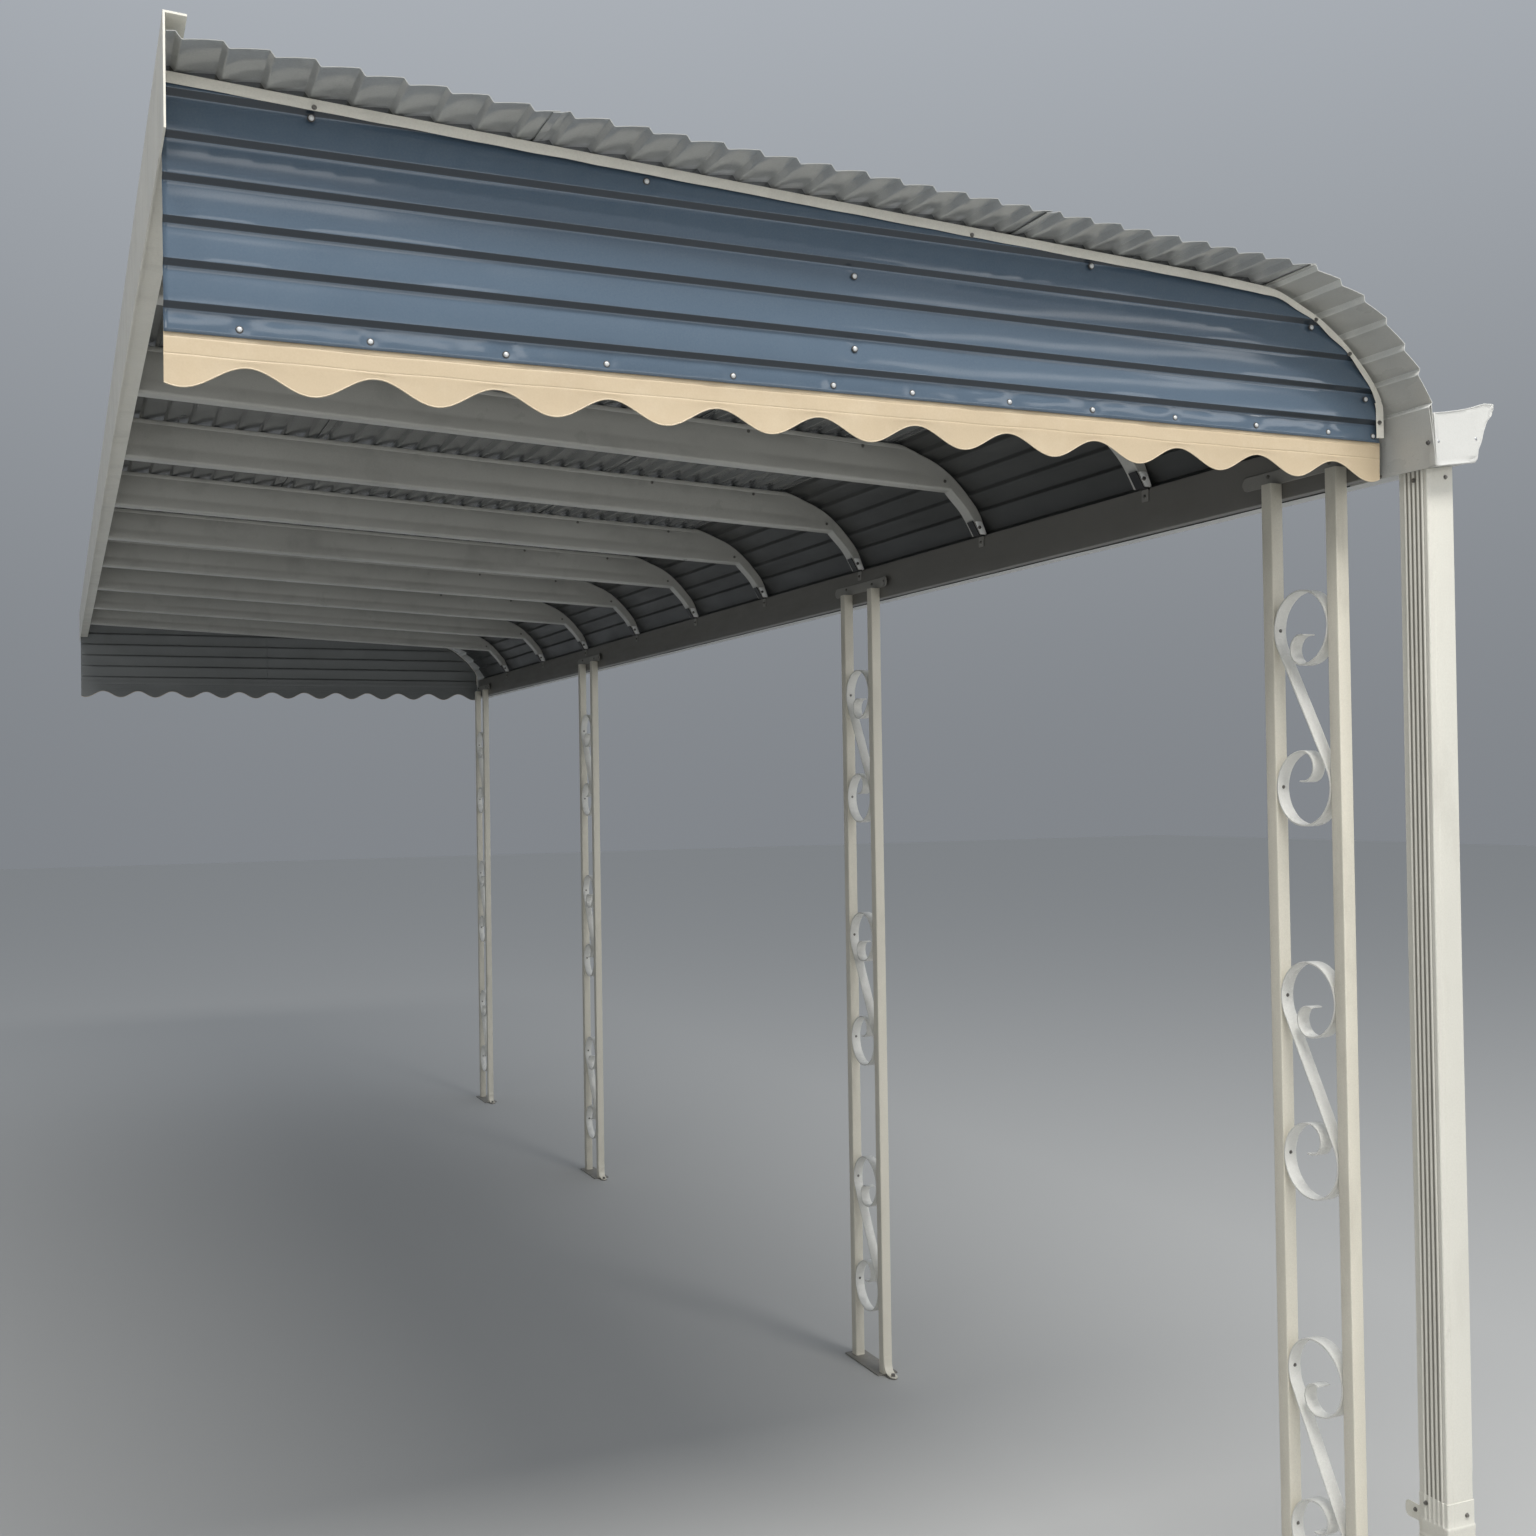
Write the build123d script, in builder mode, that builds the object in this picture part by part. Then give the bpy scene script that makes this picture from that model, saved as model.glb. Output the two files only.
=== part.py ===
from build123d import *
import math
import os

# Patio awning, lean-to, hung from a rail along one side and carried on four
# scroll columns along the other.  Millimetres, +Z up.
# X runs out from the rail, Y along the rail from the front end to the rear
# end, and the origin is the middle of the wall rail's flat back face.

# ---------------------------------------------------------------- dimensions
ROOF_LEN = 6378.0          # length of the roof sheets along the rail
RAIL_Z = 2320.0            # height of the wall rail's middle above the ground
RAIL_H = 132.0             # height of the wall rail
RAIL_T = 2.5               # thickness of the wall rail's web
RIB = 50.8                 # rib pitch of the roof and end sheets (2 in)
RIB_DEPTH = 8.0            # step of each rib
RIB_RUN = 6.5              # horizontal run of each step
SHEET_T = 1.2              # thickness the sheets are drawn with
SLOPE = 0.0460             # fall of the roof outwards
CREST_X0 = 13.8            # first rib's crest from the rail's back
CREST_Z0 = 2364.7          # its height above the ground
FRONT_IN = 85.0            # front end panel stands back this far from the roof's end
REAR_IN = 120.0            # and the rear one this far
PANEL_BOTTOM = 2050.5      # lower edge of the end panels
PANEL_RIB = 49.93          # pitch of their ribs
PANEL_X1 = 1845.0          # outer edge of the end panels
TRIM_W = 15.5              # flat leg of the trim over an end panel
TRIM_BOTTOM = 2057.5       # lower end of the trim
VAL_TOP = 2064.0           # top of the valance, behind the end panel
VAL_MID = 2001.0           # mean height of the scallops
VAL_AMP = 14.2             # half height of the scallops
SCALLOP = 150.4            # scallop pitch
VAL_LOW = 22.1             # x of the first scallop's lowest point
VAL_X1 = 1847.0            # outer edge of the valance
HEADER_X = 1850.0          # inner face of the header
HEADER_Z0 = 2000.0         # its lower edge
HEADER_Z1 = 2086.0         # its upper edge
TUBE = 25.4                # column tube (1 in square)
TUBE_T = 1.6
COL_PITCH = 156.5          # far tube to near tube
TUBE_TOP = 2027.0
BAR_T = 3.2                # scroll bar (1 in x 1/8 in)
SCROLL_H = 402.0
RAFTER_DEPTH = 90.0
RAFTER_W = 35.0
RAFTER_T = 2.0
RAFTER_Y = [702.0, 1322.0, 1945.0, 2582.0, 3160.0, 3760.0, 4389.0, 5018.0, 5640.0]
COLUMN_Y = [169.5, 1846.0, 4251.0, 6020.0]
SCROLL_Z = [[1632.0, 1001.0, 364.0]] + [[1620.0, 982.0, 341.0]] * 3

os.makedirs("parts", exist_ok=True)


def zz(v):
    """Height above the ground -> z in the part's frame."""
    return v - RAIL_Z


def yy(v):
    """Distance from the roof's front edge -> y in the part's frame."""
    return v - ROOF_LEN / 2


def xz(y):
    """Sketch plane across the awning at y: local x is X, local y is Z."""
    return Plane(origin=(0, yy(y), 0), x_dir=(1, 0, 0), z_dir=(0, -1, 0))


def yz(x):
    """Sketch plane along the awning at x: local x is Y, local y is Z."""
    return Plane(origin=(x, 0, 0), x_dir=(0, 1, 0), z_dir=(1, 0, 0))


def level(z):
    return Plane.XY.offset(zz(z))


def mitred(pts, t, closed=False):
    """Points of a polyline moved sideways by t (to its right), mitred."""
    n = len(pts)
    segs = []
    m = n if closed else n - 1
    for i in range(m):
        (x0, y0), (x1, y1) = pts[i], pts[(i + 1) % n]
        d = math.hypot(x1 - x0, y1 - y0)
        nx, ny = (y1 - y0) / d, -(x1 - x0) / d
        segs.append(((x0 + nx * t, y0 + ny * t), (x1 + nx * t, y1 + ny * t)))
    out = []
    if not closed:
        out.append(segs[0][0])
    idx = range(m) if closed else range(1, m)
    for i in idx:
        (ax, ay), (bx, by) = segs[i - 1]
        (cx, cy), (dx, dy) = segs[i]
        den = (bx - ax) * (dy - cy) - (by - ay) * (dx - cx)
        if abs(den) < 1e-9:
            out.append((cx, cy))
            continue
        s = ((cx - ax) * (dy - cy) - (cy - ay) * (dx - cx)) / den
        out.append((ax + s * (bx - ax), ay + s * (by - ay)))
    if not closed:
        out.append(segs[-1][1])
    return out


def ribbon(pts, t):
    """Closed outline of a strip t thick on the right of a polyline."""
    return pts + list(reversed(mitred(pts, t)))


def save(part, label):
    part.label = label
    export_step(part, "parts/" + label + ".step")


# ------------------------------------------------------------- roof outline
def crest(j):
    x = CREST_X0 + RIB * j
    return (x, CREST_Z0 - SLOPE * (x - CREST_X0))


# crests round the outer edge, then the foot of the last flat
NOSE = [crest(32), (1686.0, 2272.0), (1733.0, 2252.0), (1777.0, 2221.0),
        (1813.0, 2184.0), (1843.0, 2147.0), (1867.0, 2096.0), (1873.0, 1998.0)]


def after(p, q):
    """Foot of the step behind crest p, where q is the next crest."""
    d = math.hypot(q[0] - p[0], q[1] - p[1])
    tx, ty = (q[0] - p[0]) / d, (q[1] - p[1]) / d
    return (p[0] + RIB_RUN * tx + RIB_DEPTH * ty, p[1] + RIB_RUN * ty - RIB_DEPTH * tx)


def tooth_line(crests):
    """Top line of the sheet through a run of crests."""
    pts = []
    for i, p in enumerate(crests[:-1]):
        pts.append(after(p, crests[i + 1]))
        pts.append(crests[i + 1])
    return pts


def sheet(crests, label, first=None, last=None):
    pts = tooth_line(crests)
    pts = (first or []) + pts + (last or [])
    outline = [(x, zz(z)) for x, z in ribbon(pts, SHEET_T)]
    with BuildPart() as roof_sheet:
        with BuildSketch(xz(0)):
            with BuildLine():
                Polyline(*outline, close=True)
            make_face()
        extrude(amount=-ROOF_LEN)
    save(roof_sheet.part, label)


# the sheets lap half way along a flat, fourteen ribs apart; the curved outer
# sheet starts on a step
J1, J2, J3 = 9, 23, 32


def lap(j):
    """Point on the flat before crest j where two sheets meet."""
    (x0, z0), (x1, z1) = after(crest(j - 1), crest(j)), crest(j)
    return (x0 + 0.545 * (x1 - x0), z0 + 0.545 * (z1 - z0))


def run(j0, j1):
    return [crest(j) for j in range(j0, j1 + 1)]


sheet(run(0, J1 - 1), "roof_sheet_house", first=[(RAIL_T + 0.5, crest(0)[1] - 1.5)],
      last=[after(crest(J1 - 1), crest(J1)), lap(J1)])
sheet(run(J1, J2 - 1), "roof_sheet_middle", first=[lap(J1), crest(J1)],
      last=[after(crest(J2 - 1), crest(J2)), lap(J2)])
sheet(run(J2, J3), "roof_sheet_outer", first=[lap(J2), crest(J2)])
sheet(NOSE, "roof_nose")

# line under the ribs' feet, where rafters and end panels reach the roof
UNDER = []
for j in range(-1, 32):
    p = after(crest(j), crest(j + 1))
    UNDER.append((p[0], p[1] - SHEET_T - 0.2))


def under_z(x):
    x0, z0 = UNDER[0]
    return z0 - SLOPE * (x - x0)


def roof_under(depth, x0, z_end):
    """Smoothed line a given depth under the ribs' crests, from x0 out and
    round the nose, down to height z_end."""
    d = depth * math.hypot(1, SLOPE)
    line = mitred([crest(0), NOSE[0]] + NOSE[1:], depth)
    pts = [(x0, crest(0)[1] - SLOPE * (x0 - CREST_X0) - d)] + line[1:-1]
    (ax, az), (bx, bz) = line[-2], line[-1]
    f = (az - z_end) / (az - bz)
    return pts + [(ax + f * (bx - ax), z_end)]


# ------------------------------------------------------------------ wall rail
with BuildPart() as wall_rail:
    with BuildSketch(xz(0)):
        with BuildLine():
            top = zz(RAIL_Z + RAIL_H / 2)
            bot = zz(RAIL_Z - RAIL_H / 2)
            shelf = zz(under_z(33) - RAFTER_DEPTH)
            Polyline((0, bot), (RAIL_T, bot), (RAIL_T, top - RAIL_T), (26, top - RAIL_T - 1.0),
                     (26, top - 1.0), (RAIL_T, top), (0, top), close=True)
        make_face()
    extrude(amount=-ROOF_LEN)
    # shelf under the rafters' inner ends, between the two end panels
    with BuildSketch(xz(FRONT_IN + 25)):
        with BuildLine():
            Polyline((0.5, shelf - RAIL_T), (32, shelf - RAIL_T), (32, shelf - 0.1), (0.5, shelf - 0.1), close=True)
        make_face()
    extrude(amount=-(ROOF_LEN - FRONT_IN - REAR_IN - 52))
    with BuildSketch(yz(RAIL_T)):
        with Locations((0, 0)):
            with GridLocations(609.6, 1, 10, 1):
                Circle(3.25)
    extrude(amount=-RAIL_T, mode=Mode.SUBTRACT)
save(wall_rail.part, "wall_rail")


# -------------------------------------------------------------------- rafters
ARM_X = 1618.0            # where the straight top of a rafter ends


def rafter_outline():
    """Side of a rafter: deep straight part, then the curved arm."""
    x_end = ARM_X
    top = [(RAIL_T + 0.5, zz(under_z(RAIL_T + 0.5))), (x_end, zz(under_z(x_end)))]
    outer = []
    for p, q in zip(NOSE[0:6], NOSE[1:7]):
        a = after(p, q)
        d = math.hypot(q[0] - p[0], q[1] - p[1])
        outer.append((a[0] + (SHEET_T + 0.6) * (q[1] - p[1]) / d, a[1] - (SHEET_T + 0.6) * (q[0] - p[0]) / d))
    outer.append((1857.2, 2087.0))
    return top, [(x, zz(z)) for x, z in outer]


TOP, OUT = rafter_outline()
LOW_X = 1766.0
LOW = [(LOW_X, zz(under_z(LOW_X) - RAFTER_DEPTH)), (RAIL_T + 0.5, zz(under_z(RAIL_T + 0.5) - RAFTER_DEPTH))]
FOOT = (1838.7, zz(2087.0))
MID_IN = (1808.0, zz(2139.0))


def rafter_lines():
    Polyline(TOP[0], TOP[1])
    Spline(TOP[1], *OUT, tangents=[(1, -SLOPE), (0.42, -0.91)])
    Line(OUT[-1], FOOT)
    Spline(FOOT, MID_IN, LOW[0], tangents=[(-0.45, 0.89), (-0.62, 0.78)])
    Polyline(LOW[0], LOW[1], TOP[0])


for i, y in enumerate(RAFTER_Y):
    with BuildPart() as rafter:
        # web: the flat side that faces the front
        with BuildSketch(xz(y)):
            with BuildLine():
                rafter_lines()
            make_face()
        extrude(amount=-RAFTER_T)
        # flanges along every edge, turned back from the web
        with BuildSketch(xz(y)):
            with BuildLine():
                rafter_lines()
            make_face()
            with BuildLine():
                Polyline((RAIL_T + 0.5, TOP[0][1] - RAFTER_T), (ARM_X, TOP[1][1] - RAFTER_T))
                Spline((ARM_X, TOP[1][1] - RAFTER_T),
                       *[(x - 1.5, z - 1.8) for x, z in OUT[:-1]], (OUT[-1][0] - 2.2, OUT[-1][1]),
                       tangents=[(1, -SLOPE), (0.42, -0.91)])
                Line((OUT[-1][0] - 2.2, OUT[-1][1]), (FOOT[0] + 2.2, FOOT[1]))
                Spline((FOOT[0] + 2.2, FOOT[1]), (MID_IN[0] + 1.7, MID_IN[1] + 1.3),
                       (LOW[0][0] + 1.2, LOW[0][1] + RAFTER_T), tangents=[(-0.45, 0.89), (-0.62, 0.78)])
                Polyline((LOW[0][0] + 1.2, LOW[0][1] + RAFTER_T), (RAIL_T + 0.5, LOW[1][1] + RAFTER_T),
                         (RAIL_T + 0.5, TOP[0][1] - RAFTER_T))
            make_face(mode=Mode.SUBTRACT)
        extrude(amount=-RAFTER_W)
    save(rafter.part, "rafter_%d" % (i + 1))

# --------------------------------------------------------------------- header
HEADER_T = 2.0
with BuildPart() as header:
    with BuildSketch(xz(12)):
        with BuildLine():
            Polyline((HEADER_X, zz(HEADER_Z0)), (1871.2, zz(HEADER_Z0)), (1871.0, zz(HEADER_Z0 + HEADER_T)),
                     (HEADER_X + HEADER_T, zz(HEADER_Z0 + HEADER_T)),
                     (HEADER_X + HEADER_T, zz(HEADER_Z1 - HEADER_T)),
                     (1857.5, zz(HEADER_Z1 - HEADER_T)), (1857.5, zz(HEADER_Z1)),
                     (HEADER_X, zz(HEADER_Z1)), close=True)
        make_face()
    extrude(amount=-(ROOF_LEN - 24))
save(header.part, "header")

# clips that tie each rafter's foot to the header
with BuildPart() as rafter_clips:
    for y in RAFTER_Y:
        # leg on the rafter's side, leg on its inner edge, tongue on the header
        with BuildSketch(xz(y - 1.5)):
            with BuildLine():
                Polyline((1824.5, zz(2117.0)), (1842.5, zz(2117.0)), (1855.5, zz(2088.0)),
                         (1839.0, zz(2088.0)), close=True)
            make_face()
        extrude(amount=-1.5)
        with BuildSketch(xz(y - 1.5)):
            with BuildLine():
                Polyline((1818.6, zz(2117.0)), (1820.1, zz(2117.0)), (1837.2, zz(2086.8)),
                         (HEADER_X, zz(2086.8)), (HEADER_X, zz(2062.0)), (HEADER_X - 1.5, zz(2062.0)),
                         (HEADER_X - 1.5, zz(2085.3)), (1836.3, zz(2085.3)), close=True)
            make_face()
        extrude(amount=-26.5)
save(rafter_clips.part, "rafter_clips")

# ------------------------------------------------------- gutter and downspout
# five-inch gutter, tilted a little towards the roof as it hangs
G = [(1874.6, 2083.0), (1874.4, 2000.0), (1957.0, 2011.0), (1961.0, 2016.0), (1963.0, 2030.0),
     (1971.0, 2045.0), (1976.0, 2062.0), (1984.0, 2080.0), (1994.5, 2090.0), (1995.0, 2104.0),
     (1983.0, 2104.5), (1983.0, 2097.0)]
GT = 1.2
DS_X0, DS_X1 = 1881.0, 1938.6        # downspout, 58 mm x 61 mm
DS_Y0, DS_Y1 = 30.0, 91.0
with BuildPart() as gutter:
    with BuildSketch(xz(1.6)):
        with BuildLine():
            Polyline(*[(x, zz(z)) for x, z in ribbon(list(reversed(G)), GT)], close=True)
        make_face()
    extrude(amount=-(ROOF_LEN - 3.2))
    with BuildSketch(level(1990)):
        with Locations(((DS_X0 + DS_X1) / 2, yy((DS_Y0 + DS_Y1) / 2))):
            Rectangle(DS_X1 - DS_X0 - 4, DS_Y1 - DS_Y0 - 4)
    extrude(amount=40, mode=Mode.SUBTRACT)
save(gutter.part, "gutter")

CAP = [(1873.6, 2083.0), (1873.4, 1998.5), (1958.0, 2009.5), (1963.0, 2015.0), (1965.0, 2029.0),
       (1973.0, 2044.0), (1978.0, 2061.0), (1986.0, 2078.5), (1996.5, 2088.5), (1997.0, 2105.5),
       (1960.0, 2106.5), (1925.0, 2091.0)]
for label, y in (("gutter_cap_front", 0.0), ("gutter_cap_rear", ROOF_LEN - 1.6)):
    with BuildPart() as cap:
        with BuildSketch(xz(y)):
            with BuildLine():
                Polyline(*[(x, zz(z)) for x, z in CAP], close=True)
            make_face()
        extrude(amount=-1.6)
    save(cap.part, label)

with BuildPart() as gutter_straps:
    for k in range(10):
        y = 330.0 + 635.0 * k
        with BuildSketch(xz(y)):
            with BuildLine():
                Polyline((1875.8, zz(2074.0)), (1877.4, zz(2080.0)), (1984.0, zz(2092.0)),
                         (1984.0, zz(2093.6)), (1876.0, zz(2081.6)), (1875.8, zz(2081.0)), close=True)
            make_face()
        extrude(amount=-25.4)
save(gutter_straps.part, "gutter_straps")


DS_T = 1.2
DS_R = 5.0                           # corner
DS_GROOVE = 2.2
DS_BOTTOM = 352.0


def downspout_side(x, ya, yb):
    """Grooved wide side: five flutes between ya and yb."""
    inward = -1 if x > (DS_X0 + DS_X1) / 2 else 1
    sign = 1 if yb > ya else -1
    step = (abs(yb - ya) - 4.0) / 5
    pts = [(x, ya)]
    for k in range(5):
        a = ya + sign * (2.0 + step * k)
        pts += [(x, a + sign * 0.22 * step), (x + inward * DS_GROOVE, a + sign * 0.36 * step),
                (x + inward * DS_GROOVE, a + sign * 0.64 * step), (x, a + sign * 0.78 * step)]
    return pts + [(x, yb)]


# four sides that meet at the corners: wide, fluted ones and narrow, plain ones
DY0, DY1 = yy(DS_Y0), yy(DS_Y1)
sides = [downspout_side(DS_X1, DY0 + DS_R + 1.0, DY1 - DS_R - 1.0),
         [(DS_X1, DY1 - DS_R), (DS_X1 - DS_R, DY1), (DS_X0 + DS_R, DY1), (DS_X0, DY1 - DS_R)],
         downspout_side(DS_X0, DY1 - DS_R - 1.0, DY0 + DS_R + 1.0),
         [(DS_X0, DY0 + DS_R), (DS_X0 + DS_R, DY0), (DS_X1 - DS_R, DY0), (DS_X1, DY0 + DS_R)]]
with BuildPart() as downspout:
    for side in sides:
        with BuildSketch(level(DS_BOTTOM)):
            with BuildLine():
                Polyline(*ribbon(side, -DS_T), close=True)
            make_face()
        extrude(amount=2002.0 - DS_BOTTOM)
    # the top is cut to the slope of the gutter's bottom
    with BuildSketch(xz(DS_Y0 - 10)):
        with BuildLine():
            Polyline((1860, zz(1998.0)), (1950, zz(2009.9)), (1950, zz(2030)), (1860, zz(2030)), close=True)
        make_face()
    extrude(amount=-110, mode=Mode.SUBTRACT)
save(downspout.part, "downspout")

# elbow that turns the water out towards the inner side
EL_W, EL_L, EL_T = DS_X1 - DS_X0 + 4.0, DS_Y1 - DS_Y0 + 4.0, 1.4
EL_X = (DS_X0 + DS_X1) / 2
EL_Y = yy((DS_Y0 + DS_Y1) / 2)
EL_TOP = 368.0
EL_R = 60.0
EL_A = 72.0
with BuildPart() as downspout_elbow:
    with BuildLine(Plane(origin=(0, EL_Y, 0), x_dir=(1, 0, 0), z_dir=(0, -1, 0))) as elbow_path:
        down = Line((EL_X, zz(EL_TOP)), (EL_X, zz(EL_TOP - 62)))
        bend = JernArc(start=down @ 1, tangent=down % 1, radius=EL_R, arc_size=-EL_A)
        out = Line(bend @ 1, (bend @ 1) + (bend % 1) * 95)
    with BuildSketch(Plane(origin=(EL_X, EL_Y, zz(EL_TOP)), x_dir=(1, 0, 0), z_dir=(0, 0, -1))):
        RectangleRounded(EL_W, EL_L, 6.0)
        RectangleRounded(EL_W - 2 * EL_T, EL_L - 2 * EL_T, 4.6, mode=Mode.SUBTRACT)
    sweep(path=elbow_path.wires()[0])
save(downspout_elbow.part, "downspout_elbow")

# --------------------------------------------------------------- end panels
PANEL_STEPS = [2082.0 + PANEL_RIB * k for k in range(6)]


def panel_line():
    """Section of an end panel: the flats lean out going down, then step back."""
    pts = [(RIB_DEPTH - 5.0, PANEL_BOTTOM)]
    for z in PANEL_STEPS:
        pts.append((RIB_DEPTH, z - RIB_RUN / 2))
        pts.append((0.0, z + RIB_RUN / 2))
    return pts


def panel(label, x0, x1, y_face, sign):
    """Ribbed end sheet; sign +1 for the front end, -1 for the rear."""
    line = [(y_face + sign * d, zz(z)) for d, z in panel_line()]
    edge = roof_under(END_DEPTH + 1.7, RAIL_T + 0.6, 2070.0)

    def top_z(x):
        for (ax, az), (bx, bz) in zip(edge[:-1], edge[1:]):
            if ax <= x <= bx:
                return az + (bz - az) * (x - ax) / (bx - ax)
        return edge[-1][1]

    outline = [(x0, PANEL_BOTTOM), (x0, top_z(x0))] + [p for p in edge if x0 < p[0] < x1]
    outline += [(x1, top_z(x1)), (x1, PANEL_BOTTOM)]
    with BuildPart() as end_panel:
        with BuildSketch(yz(x0)):
            with BuildLine():
                Polyline(*ribbon(line, sign * 1.0), close=True)
            make_face()
        extrude(amount=x1 - x0)
        with BuildSketch(Plane(origin=(0, y_face, 0), x_dir=(1, 0, 0), z_dir=(0, -1, 0))):
            with BuildLine():
                Polyline(*[(x, zz(z)) for x, z in outline], close=True)
            make_face()
        extrude(amount=60, both=True, mode=Mode.INTERSECT)
    save(end_panel.part, label)


FRONT_Y = yy(FRONT_IN)
REAR_Y = yy(ROOF_LEN - REAR_IN)
END_DEPTH = RIB_DEPTH + SHEET_T + 0.3
panel("front_end_panel", RAIL_T + 0.6, PANEL_X1, FRONT_Y, +1)
panel("rear_end_panel_house", RAIL_T + 0.6, 828.0, REAR_Y, -1)
panel("rear_end_panel_outer", 828.0, PANEL_X1, REAR_Y, -1)


def stop_at(pts, x_max):
    """The same line, going straight down once it reaches x_max."""
    out = []
    for p, q in zip(pts, pts[1:] + pts[-1:]):
        out.append((min(p[0], x_max), p[1]))
        if p[0] < x_max < q[0]:
            out.append((x_max, p[1] + (q[1] - p[1]) * (x_max - p[0]) / (q[0] - p[0])))
    return out


def trim(label, y_face, sign):
    """Flat trim over the top edge of an end panel, turned in under the roof."""
    outer_pts = stop_at(roof_under(END_DEPTH, 4.0, TRIM_BOTTOM), 1849.2)
    inner_pts = stop_at(roof_under(END_DEPTH + TRIM_W, 4.0, TRIM_BOTTOM), 1834.0)
    lip_pts = stop_at(roof_under(END_DEPTH + 1.5, 4.0, TRIM_BOTTOM), 1847.7)
    with BuildPart() as end_trim:
        with BuildSketch(Plane(origin=(0, y_face, 0), x_dir=(1, 0, 0), z_dir=(0, -1, 0))):
            with BuildLine():
                Polyline(*[(x, zz(z)) for x, z in outer_pts + list(reversed(inner_pts))], close=True)
            make_face()
        extrude(amount=1.5 * sign)
        with BuildSketch(Plane(origin=(0, y_face, 0), x_dir=(1, 0, 0), z_dir=(0, -1, 0))):
            with BuildLine():
                Polyline(*[(x, zz(z)) for x, z in outer_pts + list(reversed(lip_pts))], close=True)
            make_face()
        extrude(amount=-22 * sign)
    save(end_trim.part, label)


trim("front_trim", FRONT_Y, +1)
trim("rear_trim", REAR_Y, -1)


def valance(label, y_face, sign):
    n = 150
    x0, x1 = RAIL_T + 0.6, VAL_X1
    wave = []
    for k in range(n + 1):
        x = x0 + (x1 - x0) * k / n
        wave.append((x, zz(VAL_MID - VAL_AMP * math.cos(2 * math.pi * (x - VAL_LOW) / SCALLOP))))
    with BuildPart() as valance_part:
        with BuildSketch(Plane(origin=(0, y_face + sign * (RIB_DEPTH + 1.4), 0), x_dir=(1, 0, 0), z_dir=(0, -1, 0))):
            with BuildLine():
                Spline(*wave)
                Polyline(wave[-1], (x1, zz(VAL_TOP)), (x0, zz(VAL_TOP)), wave[0])
            make_face()
        extrude(amount=-1.2 if sign > 0 else 1.2)
    save(valance_part.part, label)


valance("front_valance", FRONT_Y, +1)
valance("rear_valance", REAR_Y, -1)

# -------------------------------------------------------------------- columns
TX0 = HEADER_X - TUBE


def scroll_line(a0, zc):
    """Centre line of one S scroll; a0 is the far tube's inner face, the bar
    goes towards the near tube (lower y)."""
    R = (COL_PITCH - TUBE) / 2 - BAR_T / 2
    h = SCROLL_H / 2 - BAR_T / 2
    cy = a0 - (COL_PITCH - TUBE) / 2
    dz = h - R
    phi = math.asin(R / dz)
    for s in (1, -1):
        # s = 1: upper half, s = -1: the same turned half round
        def P(a, b):
            return (cy + s * a, zz(zc) + s * b)
        tangent = P(R * math.cos(phi), dz - R * math.sin(phi))
        Line(P(0, 0), tangent)
        ThreePointArc(tangent, P(R, dz), P(0, h))
        ThreePointArc(P(0, h), P(-R * math.cos(math.radians(45)), dz + R * math.sin(math.radians(45))), P(-R, dz))
        R2 = R - 2.0
        c2 = -R + R2
        ThreePointArc(P(-R, dz), P(c2 - R2 * math.cos(math.radians(45)), dz - R2 * math.sin(math.radians(45))), P(c2, dz - R2))
        R3 = 27.0
        ThreePointArc(P(c2, dz - R2), P(c2 + R3 * math.cos(math.radians(45)), dz - R2 + R3 - R3 * math.sin(math.radians(45))), P(c2 + R3, dz - R2 + R3))
        R4 = 24.0
        c4 = c2 + R3 - R4
        ThreePointArc(P(c2 + R3, dz - R2 + R3), P(c4 + R4 * math.cos(math.radians(45)), dz - R2 + R3 + R4 * math.sin(math.radians(45))), P(c4, dz - R2 + R3 + R4))
        Line(P(c4, dz - R2 + R3 + R4), P(c4 - 9.0, dz - R2 + R3 + R4 - 0.5))


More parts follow.
